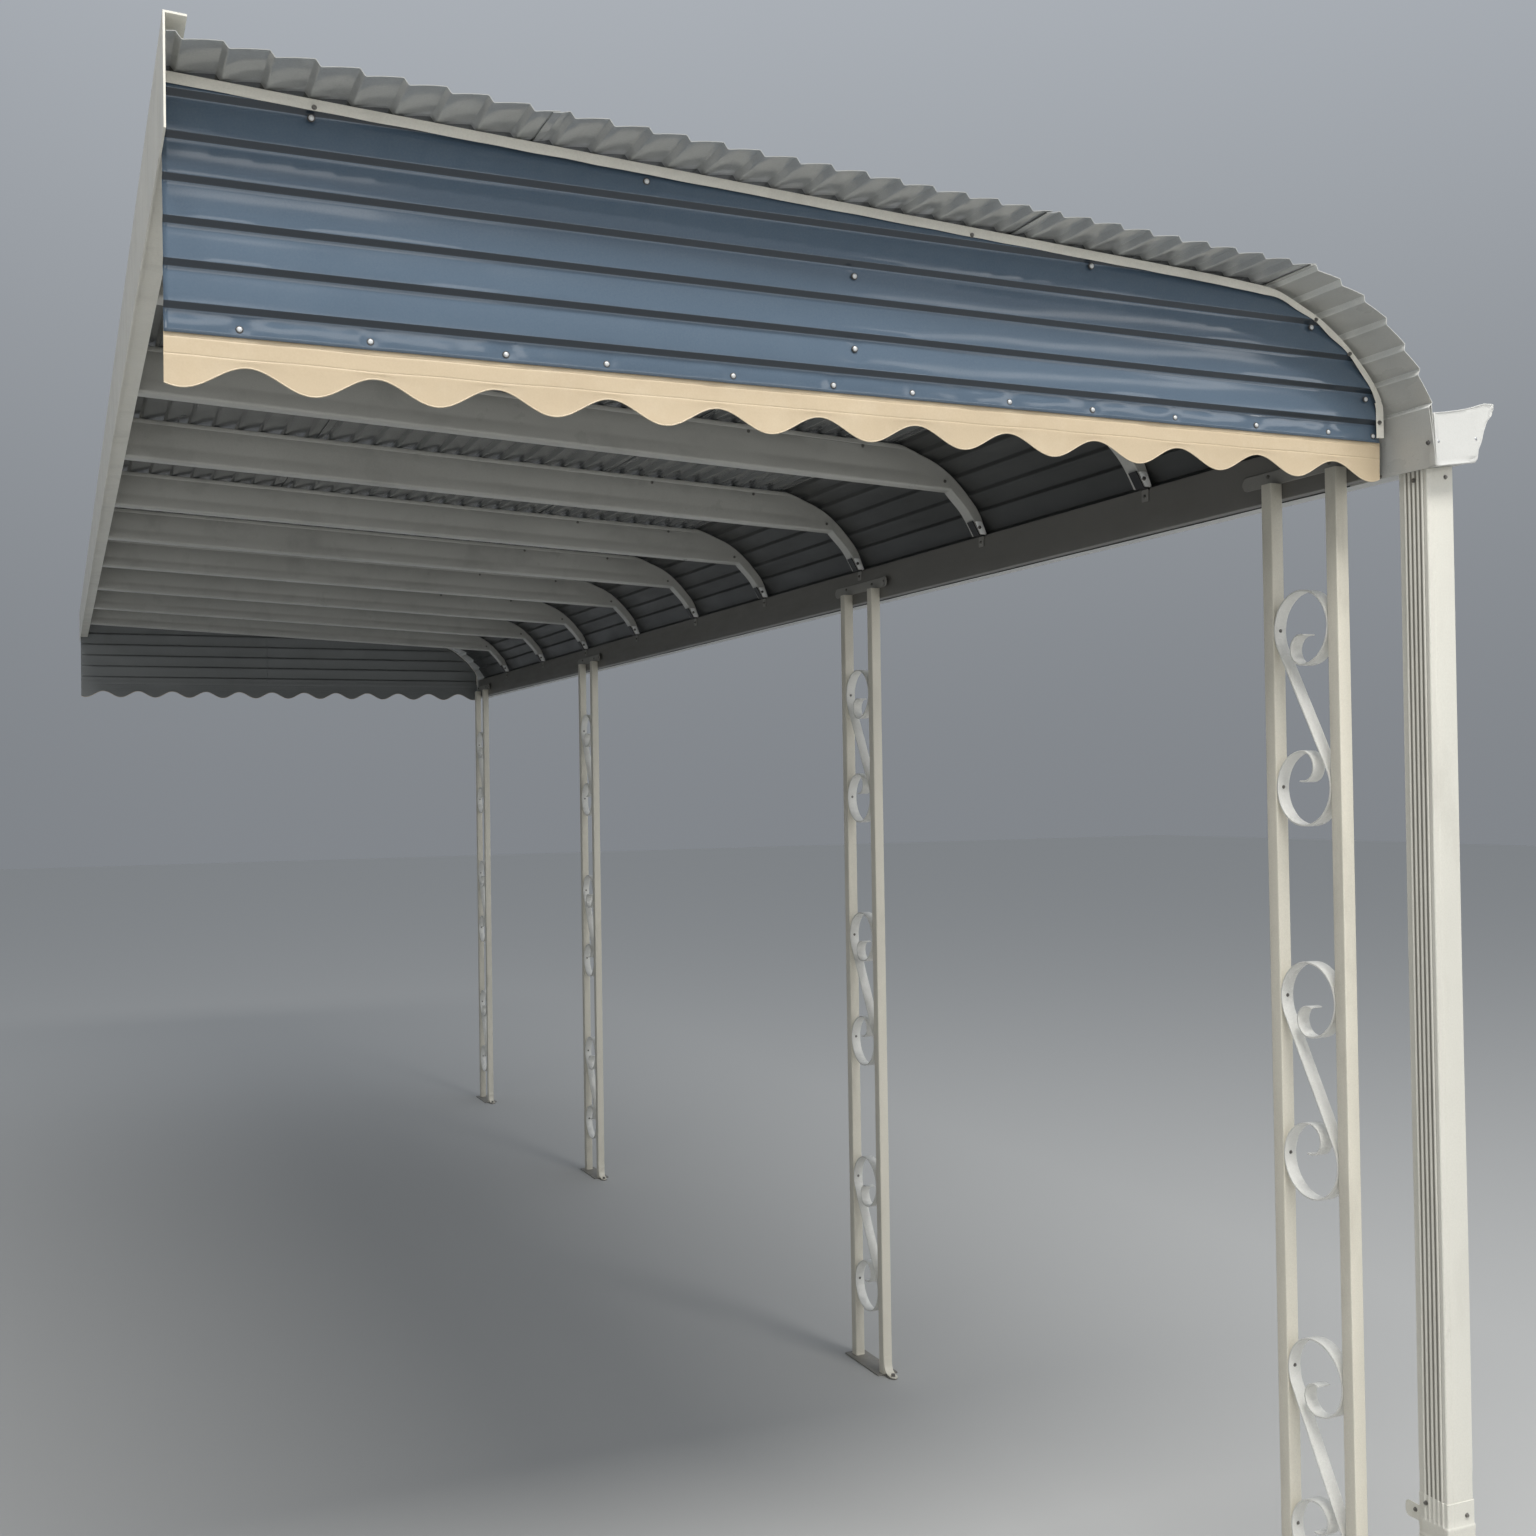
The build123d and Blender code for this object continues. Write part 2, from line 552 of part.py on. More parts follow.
for n, y0 in enumerate(COLUMN_Y):
    k = n + 1
    near, far = y0, y0 + COL_PITCH
    with BuildPart() as tubes:
        for a in (near, far):
            with BuildSketch(level(3.2)):
                with Locations((TX0 + TUBE / 2, yy(a + TUBE / 2))):
                    RectangleRounded(TUBE, TUBE, 1.5)
                    Rectangle(TUBE - 2 * TUBE_T, TUBE - 2 * TUBE_T, mode=Mode.SUBTRACT)
            extrude(amount=TUBE_TOP - 3.2)
    save(tubes.part, "column_%d_tubes" % k)

    with BuildPart() as scrolls:
        for zc in SCROLL_Z[n]:
            with BuildSketch(yz(TX0)):
                with BuildLine():
                    scroll_line(yy(far), zc)
                trace(line_width=BAR_T)
            extrude(amount=TUBE)
    save(scrolls.part, "column_%d_scrolls" % k)

    with BuildPart() as base:
        with BuildSketch(level(0)):
            with BuildLine():
                Polyline((TX0 - 16, yy(near)), (TX0 + TUBE + 16, yy(near)), (TX0 + TUBE + 16, yy(far + TUBE + 12)),
                         (TX0 - 16, yy(far + TUBE + 12)), close=True)
            make_face()
            with Locations((TX0 + TUBE / 2, yy(near - 22))):
                Rectangle(TUBE, 46)
            with Locations((TX0 + TUBE / 2, yy(near - 28))):
                Circle(3.25, mode=Mode.SUBTRACT)
        extrude(amount=3.2)
    save(base.part, "column_%d_base" % k)

    # strap across both tubes, rounded at its ends; the end columns' stop at the end panels
    s0 = near - 57
    s1 = min(far + TUBE + 74, ROOF_LEN - REAR_IN - 16)
    with BuildPart() as strap:
        with BuildSketch(Plane(origin=(HEADER_X - 3.2, 0, 0), x_dir=(0, 1, 0), z_dir=(1, 0, 0))):
            with Locations((yy((s0 + s1) / 2), zz(2040.0))):
                RectangleRounded(s1 - s0, TUBE, 11.0)
        extrude(amount=3.2)
    save(strap.part, "column_%d_strap" % k)
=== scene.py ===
import math

import bmesh
import bpy
import numpy as np
from mathutils import Matrix, Vector


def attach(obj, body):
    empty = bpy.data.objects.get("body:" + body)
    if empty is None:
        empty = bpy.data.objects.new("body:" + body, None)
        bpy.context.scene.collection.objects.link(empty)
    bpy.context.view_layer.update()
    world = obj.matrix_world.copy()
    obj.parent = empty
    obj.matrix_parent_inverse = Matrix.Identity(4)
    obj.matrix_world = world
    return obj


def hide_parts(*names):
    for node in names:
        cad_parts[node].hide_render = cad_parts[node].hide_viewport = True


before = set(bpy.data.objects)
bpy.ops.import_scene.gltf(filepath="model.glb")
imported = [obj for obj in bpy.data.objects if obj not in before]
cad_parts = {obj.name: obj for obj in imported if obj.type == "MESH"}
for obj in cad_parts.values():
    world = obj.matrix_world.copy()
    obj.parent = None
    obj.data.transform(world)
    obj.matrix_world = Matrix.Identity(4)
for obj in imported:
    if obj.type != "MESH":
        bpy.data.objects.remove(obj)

# Lengths below are in millimetres: x out from the rail, y from the roof's front
# end, z above the ground.  place() turns them into metres in the row's frame.
ROOF_LEN = 6378.0
RAIL_Z = 2320.0
RIB, RIB_DEPTH, RIB_RUN, SLOPE = 50.8, 8.0, 6.5, 0.046
CREST_X0, CREST_Z0 = 13.8, 2364.7
FRONT_Y, REAR_Y = 85.0, ROOF_LEN - 120.0
RAFTER_Y = [702.0, 1322.0, 1945.0, 2582.0, 3160.0, 3760.0, 4389.0, 5018.0, 5640.0]
COLUMN_Y = [169.5, 1846.0, 4251.0, 6020.0]
SCROLL_Z = [[1632.0, 1001.0, 364.0]] + [[1620.0, 982.0, 341.0]] * 3
TUBE, COL_PITCH, SCROLL_H = 25.4, 156.5, 402.0
HEADER_X = 1850.0
TX0 = HEADER_X - TUBE


def place(x, y, z):
    x, y, z = np.broadcast_arrays(np.asarray(x, float), np.asarray(y, float), np.asarray(z, float))
    return np.stack([x / 1000.0, (y - ROOF_LEN / 2) / 1000.0, (z - RAIL_Z) / 1000.0], -1)


# ------------------------------------------------------------------- lines
def unit(v):
    return v / np.maximum(np.linalg.norm(v, axis=-1, keepdims=True), 1e-9)


def rounded(pts, r, k=3, closed=False):
    """Polyline with its corners rounded to radius r, k steps each."""
    pts = [np.array(p, float) for p in pts]
    n, out = len(pts), []
    for i, p in enumerate(pts):
        if not closed and i in (0, n - 1):
            out.append(p)
            continue
        a, b = pts[i - 1] - p, pts[(i + 1) % n] - p
        la, lb = np.linalg.norm(a), np.linalg.norm(b)
        turn = math.pi - math.acos(float(np.clip(a @ b / (la * lb), -1, 1)))
        if turn < 0.02:
            out.append(p)
            continue
        rr = r[i] if isinstance(r, (list, tuple)) else r
        t = min(rr * math.tan(turn / 2), 0.45 * la, 0.45 * lb)
        pa, pb = p + a / la * t, p + b / lb * t
        for j in range(k + 1):
            s = j / k
            out.append((1 - s) ** 2 * pa + 2 * s * (1 - s) * p + s * s * pb)
    return np.array(out)


def side(pts, t, closed=False):
    """The line moved t to its right."""
    p = np.asarray(pts, float)
    if closed:
        d0, d1 = p - np.roll(p, 1, 0), np.roll(p, -1, 0) - p
    else:
        d = np.diff(p, axis=0)
        d0, d1 = np.vstack([d[:1], d]), np.vstack([d, d[-1:]])
    d0, d1 = unit(d0), unit(d1)
    n0, n1 = np.stack([d0[:, 1], -d0[:, 0]], 1), np.stack([d1[:, 1], -d1[:, 0]], 1)
    m = unit(n0 + n1)
    c = np.clip((m * n0).sum(1), 0.5, 1)
    return p + m * (t / c)[:, None]


def split(pts, longest):
    """Adds points so that no run is longer than the given length."""
    pts = np.asarray(pts, float)
    out = [pts[0]]
    for a, b in zip(pts[:-1], pts[1:]):
        n = max(1, int(math.ceil(np.linalg.norm(b - a) / longest)))
        for j in range(1, n + 1):
            out.append(a + (b - a) * j / n)
    return np.array(out)


def even(pts, n):
    """n points evenly spaced along a polyline."""
    pts = np.asarray(pts, float)
    s = np.concatenate([[0], np.cumsum(np.linalg.norm(np.diff(pts, axis=0), axis=1))])
    t = np.linspace(0, s[-1], n)
    return np.stack([np.interp(t, s, pts[:, i]) for i in range(pts.shape[1])], 1)


def hermite(pts, t0, t1, n):
    """Smooth curve through the points, with end directions t0 and t1, as n points."""
    p = np.array(pts, float)
    m = np.zeros_like(p)
    m[1:-1] = (p[2:] - p[:-2]) / 2
    m[0] = unit(np.array(t0, float)) * np.linalg.norm(p[1] - p[0])
    m[-1] = unit(np.array(t1, float)) * np.linalg.norm(p[-1] - p[-2])
    out = []
    for i in range(len(p) - 1):
        s = np.linspace(0, 1, 24, endpoint=(i == len(p) - 2))[:, None]
        out.append((2 * s**3 - 3 * s**2 + 1) * p[i] + (s**3 - 2 * s**2 + s) * m[i]
                   + (3 * s**2 - 2 * s**3) * p[i + 1] + (s**3 - s**2) * m[i + 1])
    return even(np.vstack(out), n)


def ripple(seed, n, lo, hi):
    """Even, repeatable waviness of two coordinates, wavelengths lo to hi, about -1 to 1."""
    r = np.random.default_rng(seed)
    k = 2 * math.pi / r.uniform(lo, hi, n)
    a, ph, w = r.uniform(0, 2 * math.pi, n), r.uniform(0, 2 * math.pi, n), r.uniform(0.5, 1, n)
    w = w / math.sqrt((w**2).sum() / 2) / 1.6

    def f(u, v):
        u, v = np.broadcast_arrays(np.asarray(u, float), np.asarray(v, float))
        return sum(w[i] * np.sin(k[i] * (u * math.cos(a[i]) + v * math.sin(a[i])) + ph[i]) for i in range(n))
    return f


# ----------------------------------------------------------------- meshes
class Mesh:
    """Collects vertices and faces for one piece."""

    def __init__(self):
        self.v, self.f, self.m, self.n = [], [], [], 0

    def add(self, verts, faces, mat=0):
        verts = np.asarray(verts, float).reshape(-1, 3)
        self.v.append(verts)
        for q in faces:
            self.f.append(tuple(int(i) + self.n for i in q))
            self.m.append(mat)
        self.n += len(verts)

    def slab(self, A, B, mat=0, mat_b=None, ring=False):
        """Closed skin between two sheets of points (rows, columns, 3)."""
        m, n = A.shape[:2]
        ia = np.arange(m * n).reshape(m, n)
        ib = ia + m * n
        F, M = [], []

        def quads(i, rev, mt):
            a, b, c, d = i[:-1, :-1], i[:-1, 1:], i[1:, 1:], i[1:, :-1]
            q = np.stack([a, d, c, b] if rev else [a, b, c, d], -1).reshape(-1, 4)
            F.extend(map(tuple, q.tolist()))
            M.extend([mt] * len(q))
        if ring:
            ia2, ib2 = np.hstack([ia, ia[:, :1]]), np.hstack([ib, ib[:, :1]])
        else:
            ia2, ib2 = ia, ib
        quads(ia2, False, mat)
        quads(ib2, True, mat if mat_b is None else mat_b)

        def rim(a, b):
            q = np.stack([a[:-1], b[:-1], b[1:], a[1:]], -1)
            F.extend(map(tuple, q.tolist()))
            M.extend([mat] * len(q))
        rim(ia2[0], ib2[0])
        rim(ib2[-1], ia2[-1])
        if not ring:
            rim(ib[:, 0], ia[:, 0])
            rim(ia[:, -1], ib[:, -1])
        self.v.append(np.concatenate([A.reshape(-1, 3), B.reshape(-1, 3)]))
        base = self.n
        self.f.extend(tuple(i + base for i in q) for q in F)
        self.m.extend(M)
        self.n += 2 * m * n

    def loft(self, rings, cap=True, mat=0):
        """Rings of points (rows, k, 3), each closed, joined in order."""
        m, k = rings.shape[:2]
        i = np.arange(m * k).reshape(m, k)
        j = np.hstack([i, i[:, :1]])
        q = np.stack([j[:-1, :-1], j[:-1, 1:], j[1:, 1:], j[1:, :-1]], -1).reshape(-1, 4).tolist()
        if cap:
            q += [list(i[0][::-1]), list(i[-1])]
        self.add(rings, q, mat)

    def turned(self, centre, axis, profile, seg=16, phase=0.0, mat=0):
        """Solid of revolution; profile is (radius, height along axis), closed by a flat top."""
        c, w = np.array(centre, float), unit(np.array(axis, float))
        u = unit(np.cross(w, [0.31, 0.52, 0.79]))
        v = np.cross(w, u)
        a = phase + np.arange(seg) * 2 * math.pi / seg
        ringdir = np.cos(a)[:, None] * u + np.sin(a)[:, None] * v
        rings = np.stack([c + ringdir * r + w * h for r, h in profile])
        self.loft(rings, cap=True, mat=mat)

    def build(self, name, mats, slot, nodes=(), sharp=32.0, recalc=True):
        V = np.concatenate(self.v)
        me = bpy.data.meshes.new(name)
        me.from_pydata(V.tolist(), [], self.f)
        for m in mats:
            me.materials.append(m)
        me.polygons.foreach_set("material_index", np.array(self.m, np.int32))
        bm = bmesh.new()
        bm.from_mesh(me)
        if recalc:
            bmesh.ops.recalc_face_normals(bm, faces=bm.faces)
        bm.to_mesh(me)
        bm.free()
        me.shade_smooth()
        me.set_sharp_from_angle(angle=math.radians(sharp))
        me.validate()
        o = bpy.data.objects.new(name, me)
        bpy.context.scene.collection.objects.link(o)
        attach(o, "root")
        if nodes:
            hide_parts(*nodes)
        return o


def hex_screw(mesh, p, axis, r=5.2, af=6.9, h=4.4, turn=0.0, mat=0, scale=0.8):
    """Hex head with its washer flange, seated at p (mm) on a face whose outward side is axis."""
    c = place(*p)
    k = 0.001 * scale
    mesh.turned(c - unit(np.array(axis, float)) * 0.0008, axis,
                [(r * k, 0), (r * k, 1.3 * k), (r * 0.93 * k, 1.75 * k), (af / 2 * 1.12 * k, 2.0 * k)], 20, mat=mat)
    mesh.turned(c, axis, [(af / 1.732 * k, 0.8 * k), (af / 1.732 * k, (h - 0.7) * k), (af / 1.732 * 0.86 * k, h * k),
                          (af / 1.732 * 0.42 * k, h * k), (af / 1.732 * 0.36 * k, (h - 0.35) * k)],
                6, phase=turn, mat=mat)


def dome_screw(mesh, p, axis, r=3.5, h=2.6, mat=0):
    """Low round head on a dark rubber washer (material 1)."""
    c = place(*p)
    k = 0.001
    mesh.turned(c, axis, [((r + 1.3) * k, -0.8 * k), ((r + 1.3) * k, 0.3 * k), ((r + 0.9) * k, 0.8 * k), (r * 0.8 * k, 0.9 * k)], 16, mat=1)
    prof = [(r * k, 0.2 * k), (r * k, 1.2 * k)] + [(r * math.cos(t) * k, (1.2 + (h - 1.0) * math.sin(t)) * k)
                                                  for t in (0.35, 0.7, 1.05, 1.3)]
    mesh.turned(c, axis, prof, 16, mat=mat)


# -------------------------------------------------------------- materials
def lin(c):
    return tuple(((v / 255) / 12.92 if v / 255 <= 0.04045 else ((v / 255 + 0.055) / 1.055) ** 2.4) for v in c)


def paint(name, rgb, rough=0.4, vary=0.07, blotch=3.0, grime=(60, 56, 50), grime_amount=0.25, streak=(1, 1, 1),
          peel=0.12, chalk=None, chalk_amount=0.0, metallic=0.0, coat=0.0, rough_vary=0.08, grime_scale=9.0, peel_scale=900.0):
    """Weathered paint on sheet metal: a slow drift of tone, grime, chalking, orange peel."""
    m = bpy.data.materials.new(name)
    m.use_nodes = True
    nt = m.node_tree
    N, K = nt.nodes, nt.links
    bsdf = N["Principled BSDF"]
    bsdf.inputs["Metallic"].default_value = metallic
    bsdf.inputs["Coat Weight"].default_value = coat
    bsdf.inputs["Coat Roughness"].default_value = 0.08
    tc = N.new("ShaderNodeTexCoord")
    mp = N.new("ShaderNodeMapping")
    mp.inputs["Scale"].default_value = streak
    K.new(tc.outputs["Object"], mp.inputs["Vector"])

    def noise(scale, detail, roughness, vec, dist=0.0):
        n = N.new("ShaderNodeTexNoise")
        n.inputs["Scale"].default_value = scale
        n.inputs["Detail"].default_value = detail
        n.inputs["Roughness"].default_value = roughness
        n.inputs["Distortion"].default_value = dist
        K.new(vec, n.inputs["Vector"])
        return n.outputs["Fac"]

    def ramp(fac, lo, hi, a, b):
        r = N.new("ShaderNodeMapRange")
        r.inputs["From Min"].default_value = lo
        r.inputs["From Max"].default_value = hi
        r.inputs["To Min"].default_value = a
        r.inputs["To Max"].default_value = b
        K.new(fac, r.inputs["Value"])
        return r.outputs["Result"]

    def mix(fac, a, b):
        x = N.new("ShaderNodeMix")
        x.data_type = "RGBA"
        for s, v in ((x.inputs["Factor"], fac), (x.inputs[6], a), (x.inputs[7], b)):
            if isinstance(v, (tuple, list, float, int)):
                s.default_value = v
            else:
                K.new(v, s)
        return x.outputs[2]

    base = np.array(lin(rgb))
    dark = tuple(np.clip(base * (1 - vary), 0, 1)) + (1,)
    light = tuple(np.clip(base * (1 + vary), 0, 1)) + (1,)
    col = mix(ramp(noise(blotch, 4, 0.55, tc.outputs["Object"]), 0.3, 0.7, 0, 1), dark, light)
    g = noise(grime_scale, 8, 0.62, mp.outputs["Vector"], 0.3)
    col = mix(ramp(g, 0.52, 0.8, 0, grime_amount), col, tuple(lin(grime)) + (1,))
    if chalk is not None:
        c = noise(26.0, 6, 0.6, mp.outputs["Vector"], 0.2)
        col = mix(ramp(c, 0.5, 0.78, 0, chalk_amount), col, tuple(lin(chalk)) + (1,))
    fine = noise(420.0, 3, 0.5, tc.outputs["Object"])
    col = mix(ramp(fine, 0.35, 0.75, 0, 0.10), col, tuple(lin(grime)) + (1,))
    K.new(col, bsdf.inputs["Base Color"])
    K.new(ramp(noise(14.0, 6, 0.6, mp.outputs["Vector"]), 0.3, 0.75, rough - rough_vary, rough + rough_vary * 1.6), bsdf.inputs["Roughness"])
    b1 = N.new("ShaderNodeBump")
    b1.inputs["Strength"].default_value = peel
    b1.inputs["Distance"].default_value = 0.0004
    K.new(noise(peel_scale, 2, 0.5, tc.outputs["Object"]), b1.inputs["Height"])
    b2 = N.new("ShaderNodeBump")
    b2.inputs["Strength"].default_value = peel
    b2.inputs["Distance"].default_value = 0.004
    K.new(noise(28.0, 3, 0.5, tc.outputs["Object"]), b2.inputs["Height"])
    K.new(b1.outputs["Normal"], b2.inputs["Normal"])
    K.new(b2.outputs["Normal"], bsdf.inputs["Normal"])
    return m


M_ROOF = paint("roof_paint", (158, 160, 158), 0.40, 0.06, 2.5, (84, 80, 72), 0.30, (1, 0.25, 1), 0.10)
M_DECK = paint("deck_overhang", (174, 176, 175), 0.14, 0.05, 2.5, (74, 72, 68), 0.22, (1, 0.3, 1), 0.03, rough_vary=0.03, coat=0.5)
# darker copy of the deck underside paint, used between the end panels as painted shade
M_DECK_SHADED = paint("deck_inner_painted_shade", (104, 106, 106), 0.20, 0.06, 2.5, (60, 58, 55), 0.30, (1, 0.3, 1), 0.03, rough_vary=0.05, coat=0.2)
M_NOSE = paint("nose_paint", (188, 188, 183), 0.32, 0.05, 3.0, (104, 98, 88), 0.25, (1, 0.4, 1), 0.06)
# dark copy of the nose paint for its underside between the end panels: painted shade
M_NOSE_SHADED = paint("nose_inner_painted_shade", (60, 61, 60), 0.40, 0.10, 2.5, (44, 43, 41), 0.35, (1, 0.3, 1), 0.03)
# lighter copy of the nose paint for the steep rib flanks under the overhangs: painted light where they catch the light
M_NOSE_RIB_LIT = paint("nose_rib_flank_painted_light", (226, 227, 222), 0.30, 0.04, 3.0, (120, 114, 104), 0.20, (1, 0.4, 1), 0.05)
M_RAFTER = paint("rafter_paint", (184, 183, 177), 0.34, 0.05, 4.0, (80, 78, 74), 0.25, (1, 1, 1), 0.08)
M_TRIM = paint("trim_paint", (229, 226, 215), 0.38, 0.05, 5.0, (122, 116, 104), 0.28, (1, 1, 1), 0.12)
# header drawn in a grey darker than its cream paint: painted shade
M_HEADER_SHADED = paint("header_painted_shade", (112, 110, 105), 0.38, 0.06, 3.5, (88, 82, 74), 0.35, (1, 0.4, 2.0), 0.12)
M_WHITE = paint("gutter_paint", (205, 205, 201), 0.34, 0.03, 3.0, (120, 114, 104), 0.22, (1, 0.3, 1), 0.10)
M_CLIP = paint("clip_paint", (250, 250, 247), 0.32, 0.03, 9.0, (130, 124, 116), 0.2, (1, 1, 1), 0.10)
M_SPOUT = paint("spout_paint", (215, 213, 203), 0.34, 0.03, 3.0, (128, 120, 106), 0.26, (1, 1, 0.25), 0.08)
# darker copy of the downspout paint for the recessed grooves between its side beads: painted shade
M_GROOVE_SHADE = paint("spout_groove_painted_shade", (138, 135, 126), 0.42, 0.08, 6.0, (92, 88, 80), 0.4, (1, 1, 0.25), 0.08)
M_POST = paint("post_paint", (226, 221, 206), 0.36, 0.05, 3.5, (106, 98, 84), 0.32, (1, 1, 0.3), 0.16)
M_SCROLL = paint("scroll_paint", (231, 230, 224), 0.30, 0.05, 6.0, (108, 104, 98), 0.28, (1, 1, 1), 0.12)
M_FOOT = paint("foot_paint", (132, 129, 122), 0.5, 0.10, 18.0, (72, 66, 58), 0.6, (1, 1, 1), 0.3, (176, 172, 162), 0.35)
M_SLATE = paint("slate_enamel", (78, 94, 110), 0.11, 0.04, 3.0, (118, 128, 136), 0.07, (1, 1, 1), 0.02, rough_vary=0.03, coat=0.4)
# darker copy of the slate enamel for the downward-facing rib steps: painted shade
M_STEP_SHADE = paint("slate_step_painted_shade", (44, 53, 62), 0.16, 0.06, 3.0, (40, 44, 48), 0.30, (1, 1, 1), 0.02, rough_vary=0.03, coat=0.2)
M_BACK = paint("panel_back", (120, 123, 123), 0.42, 0.05, 3.0, (90, 88, 84), 0.25)
M_BEIGE = paint("valance_paint", (196, 178, 149), 0.40, 0.04, 5.0, (150, 126, 98), 0.20, (1, 1, 1), 0.10, (216, 203, 179), 0.25)
# lighter copy of the valance paint for the hem bead: painted highlight
M_HEM_LIT = paint("valance_hem_painted_highlight", (204, 188, 161), 0.42, 0.03, 9.0, (170, 150, 124), 0.15)
M_BARE = paint("mill_metal", (188, 190, 192), 0.36, 0.06, 8.0, (110, 108, 104), 0.25, metallic=0.9)
M_SCREW = paint("screw_steel", (128, 126, 122), 0.38, 0.12, 60.0, (72, 58, 46), 0.5, metallic=0.85)
M_SCREW_W = paint("screw_painted", (206, 208, 208), 0.30, 0.06, 60.0, (96, 90, 82), 0.35, metallic=0.2)
# grey darker than the cream posts and white clips, for the straps and the clips' lower legs: painted shade
M_STRAP_SHADED = paint("strap_painted_shade", (146, 144, 138), 0.40, 0.06, 8.0, (84, 80, 74), 0.3)
# near-black for the strip between each arm's end and the header: painted shadow
M_SHADOW_STRIP = paint("clip_strip_painted_shadow", (30, 30, 31), 0.45, 0.10, 20.0, (60, 58, 54), 0.25)
M_DARK = paint("screw_shadow", (70, 68, 66), 0.5, 0.1, 60.0, (50, 40, 32), 0.5)


# -------------------------------------------------------------------- roof
def crest(j):
    x = CREST_X0 + RIB * j
    return np.array([x, CREST_Z0 - SLOPE * (x - CREST_X0)])


NOSE = [crest(32)] + [np.array(p) for p in [(1686.0, 2272.0), (1733.0, 2252.0), (1777.0, 2221.0), (1813.0, 2184.0),
                                            (1843.0, 2147.0), (1867.0, 2096.0), (1873.0, 1998.0)]]


def after(p, q):
    t = unit(q - p)
    return p + RIB_RUN * t + RIB_DEPTH * np.array([t[1], -t[0]])


def tooth(crests, head=(), tail=(), r=2.6, crown=0.7):
    """Top line of a ribbed sheet: rounded ribs, each flat a little crowned."""
    key = [np.array(p, float) for p in head]
    for p, q in zip(crests[:-1], crests[1:]):
        key += [after(p, q), q]
    key += [np.array(p, float) for p in tail]
    base = rounded(key, r, 3)
    out = [base[0]]
    for a, b in zip(base[:-1], base[1:]):
        d = np.linalg.norm(b - a)
        if d > 22:
            t = unit(b - a)
            up = np.array([-t[1], t[0]])
            n = 4 if d < 60 else 6
            for j in range(1, n):
                s = j / n
                out.append(a + (b - a) * s + up * crown * math.sin(math.pi * s))
        out.append(b)
    return np.array(out)


def roof_piece(name, line, node, mat, under_mat, seed, amp=0.8, thick=1.0, slot="roof_sheet", inner=(90.0, 134.0), lit_flank=None, dark=None):
    """Ribbed sheet along y; finer stations near both open ends, where its small waves show.
    The underside keeps the lighter paint on the overhangs and takes a darker copy between the end panels, as painted
    shade; on the overhangs the steep flanks can take a lighter copy, as painted light."""
    under = side(line, thick)
    ends = np.linspace(0.0, 240.0, 19)
    y = np.concatenate([ends, np.linspace(240.0, ROOF_LEN - 240.0, 112)[1:-1], ROOF_LEN - ends[::-1]])
    f, g, h = ripple(seed, 9, 260, 1500), ripple(seed + 50, 7, 120, 400), ripple(seed + 80, 9, 60, 200)
    s = np.arange(len(line)) * 6.0
    fine = np.clip(1.25 - np.minimum(y, ROOF_LEN - y) / 240.0, 0, 1)
    lift = amp * (0.5 + 0.5 * np.clip(f(y[:, None], s[None, :]), -1, 1)) + 0.25 * g(y[:, None], line[None, :, 0])
    lift = lift + 0.28 * fine[:, None] * h(y[:, None], 2.0 * s[None, :])
    t = np.gradient(line, axis=0)
    n = unit(np.stack([-t[:, 1], t[:, 0]], 1))
    # the lift goes mostly up, so that the underside keeps clear of the rafters
    A = place(line[None, :, 0] + lift * n[None, :, 0] * 0.3, y[:, None], line[None, :, 1] + lift)
    B = place(under[None, :, 0] + lift * n[None, :, 0] * 0.3, y[:, None], under[None, :, 1] + lift)
    m = Mesh()
    m.slab(A, B, mat_b=1)
    rows, cols = A.shape[:2]
    d = unit(np.diff(line, axis=0))
    arc = np.concatenate([[0], np.cumsum(np.linalg.norm(np.diff(line, axis=0), axis=1))])
    at = lambda u: np.stack([np.interp(u, arc, line[:, 0]), np.interp(u, arc, line[:, 1])], 1)
    chord = unit(at(arc[:-1] + 32.0) - at(arc[:-1] - 30.0))
    cross = chord[:, 0] * d[:, 1] - chord[:, 1] * d[:, 0]
    steep = cross * np.sign(cross[np.argmax(np.abs(cross))]) > 0.33
    # underside faces between the end panels take the darker copy passed as dark (painted shade); steep flanks on the
    # overhangs take the lighter flank copy (painted light)
    for i, (q, t) in enumerate(zip(m.f, m.m)):
        if t == 1:
            r, c = divmod(min(q) - rows * cols, cols)
            if inner[0] < y[r] < ROOF_LEN - inner[1]:
                m.m[i] = 2
            elif lit_flank is not None and c < len(steep) and steep[c]:
                m.m[i] = 3
    return m.build(name, [mat, under_mat, dark or M_DECK_SHADED] + ([lit_flank] if lit_flank is not None else []), slot, [node], sharp=28)


def flat_at(j, f):
    a, b = after(crest(j - 1), crest(j)), crest(j)
    return a + (b - a) * f


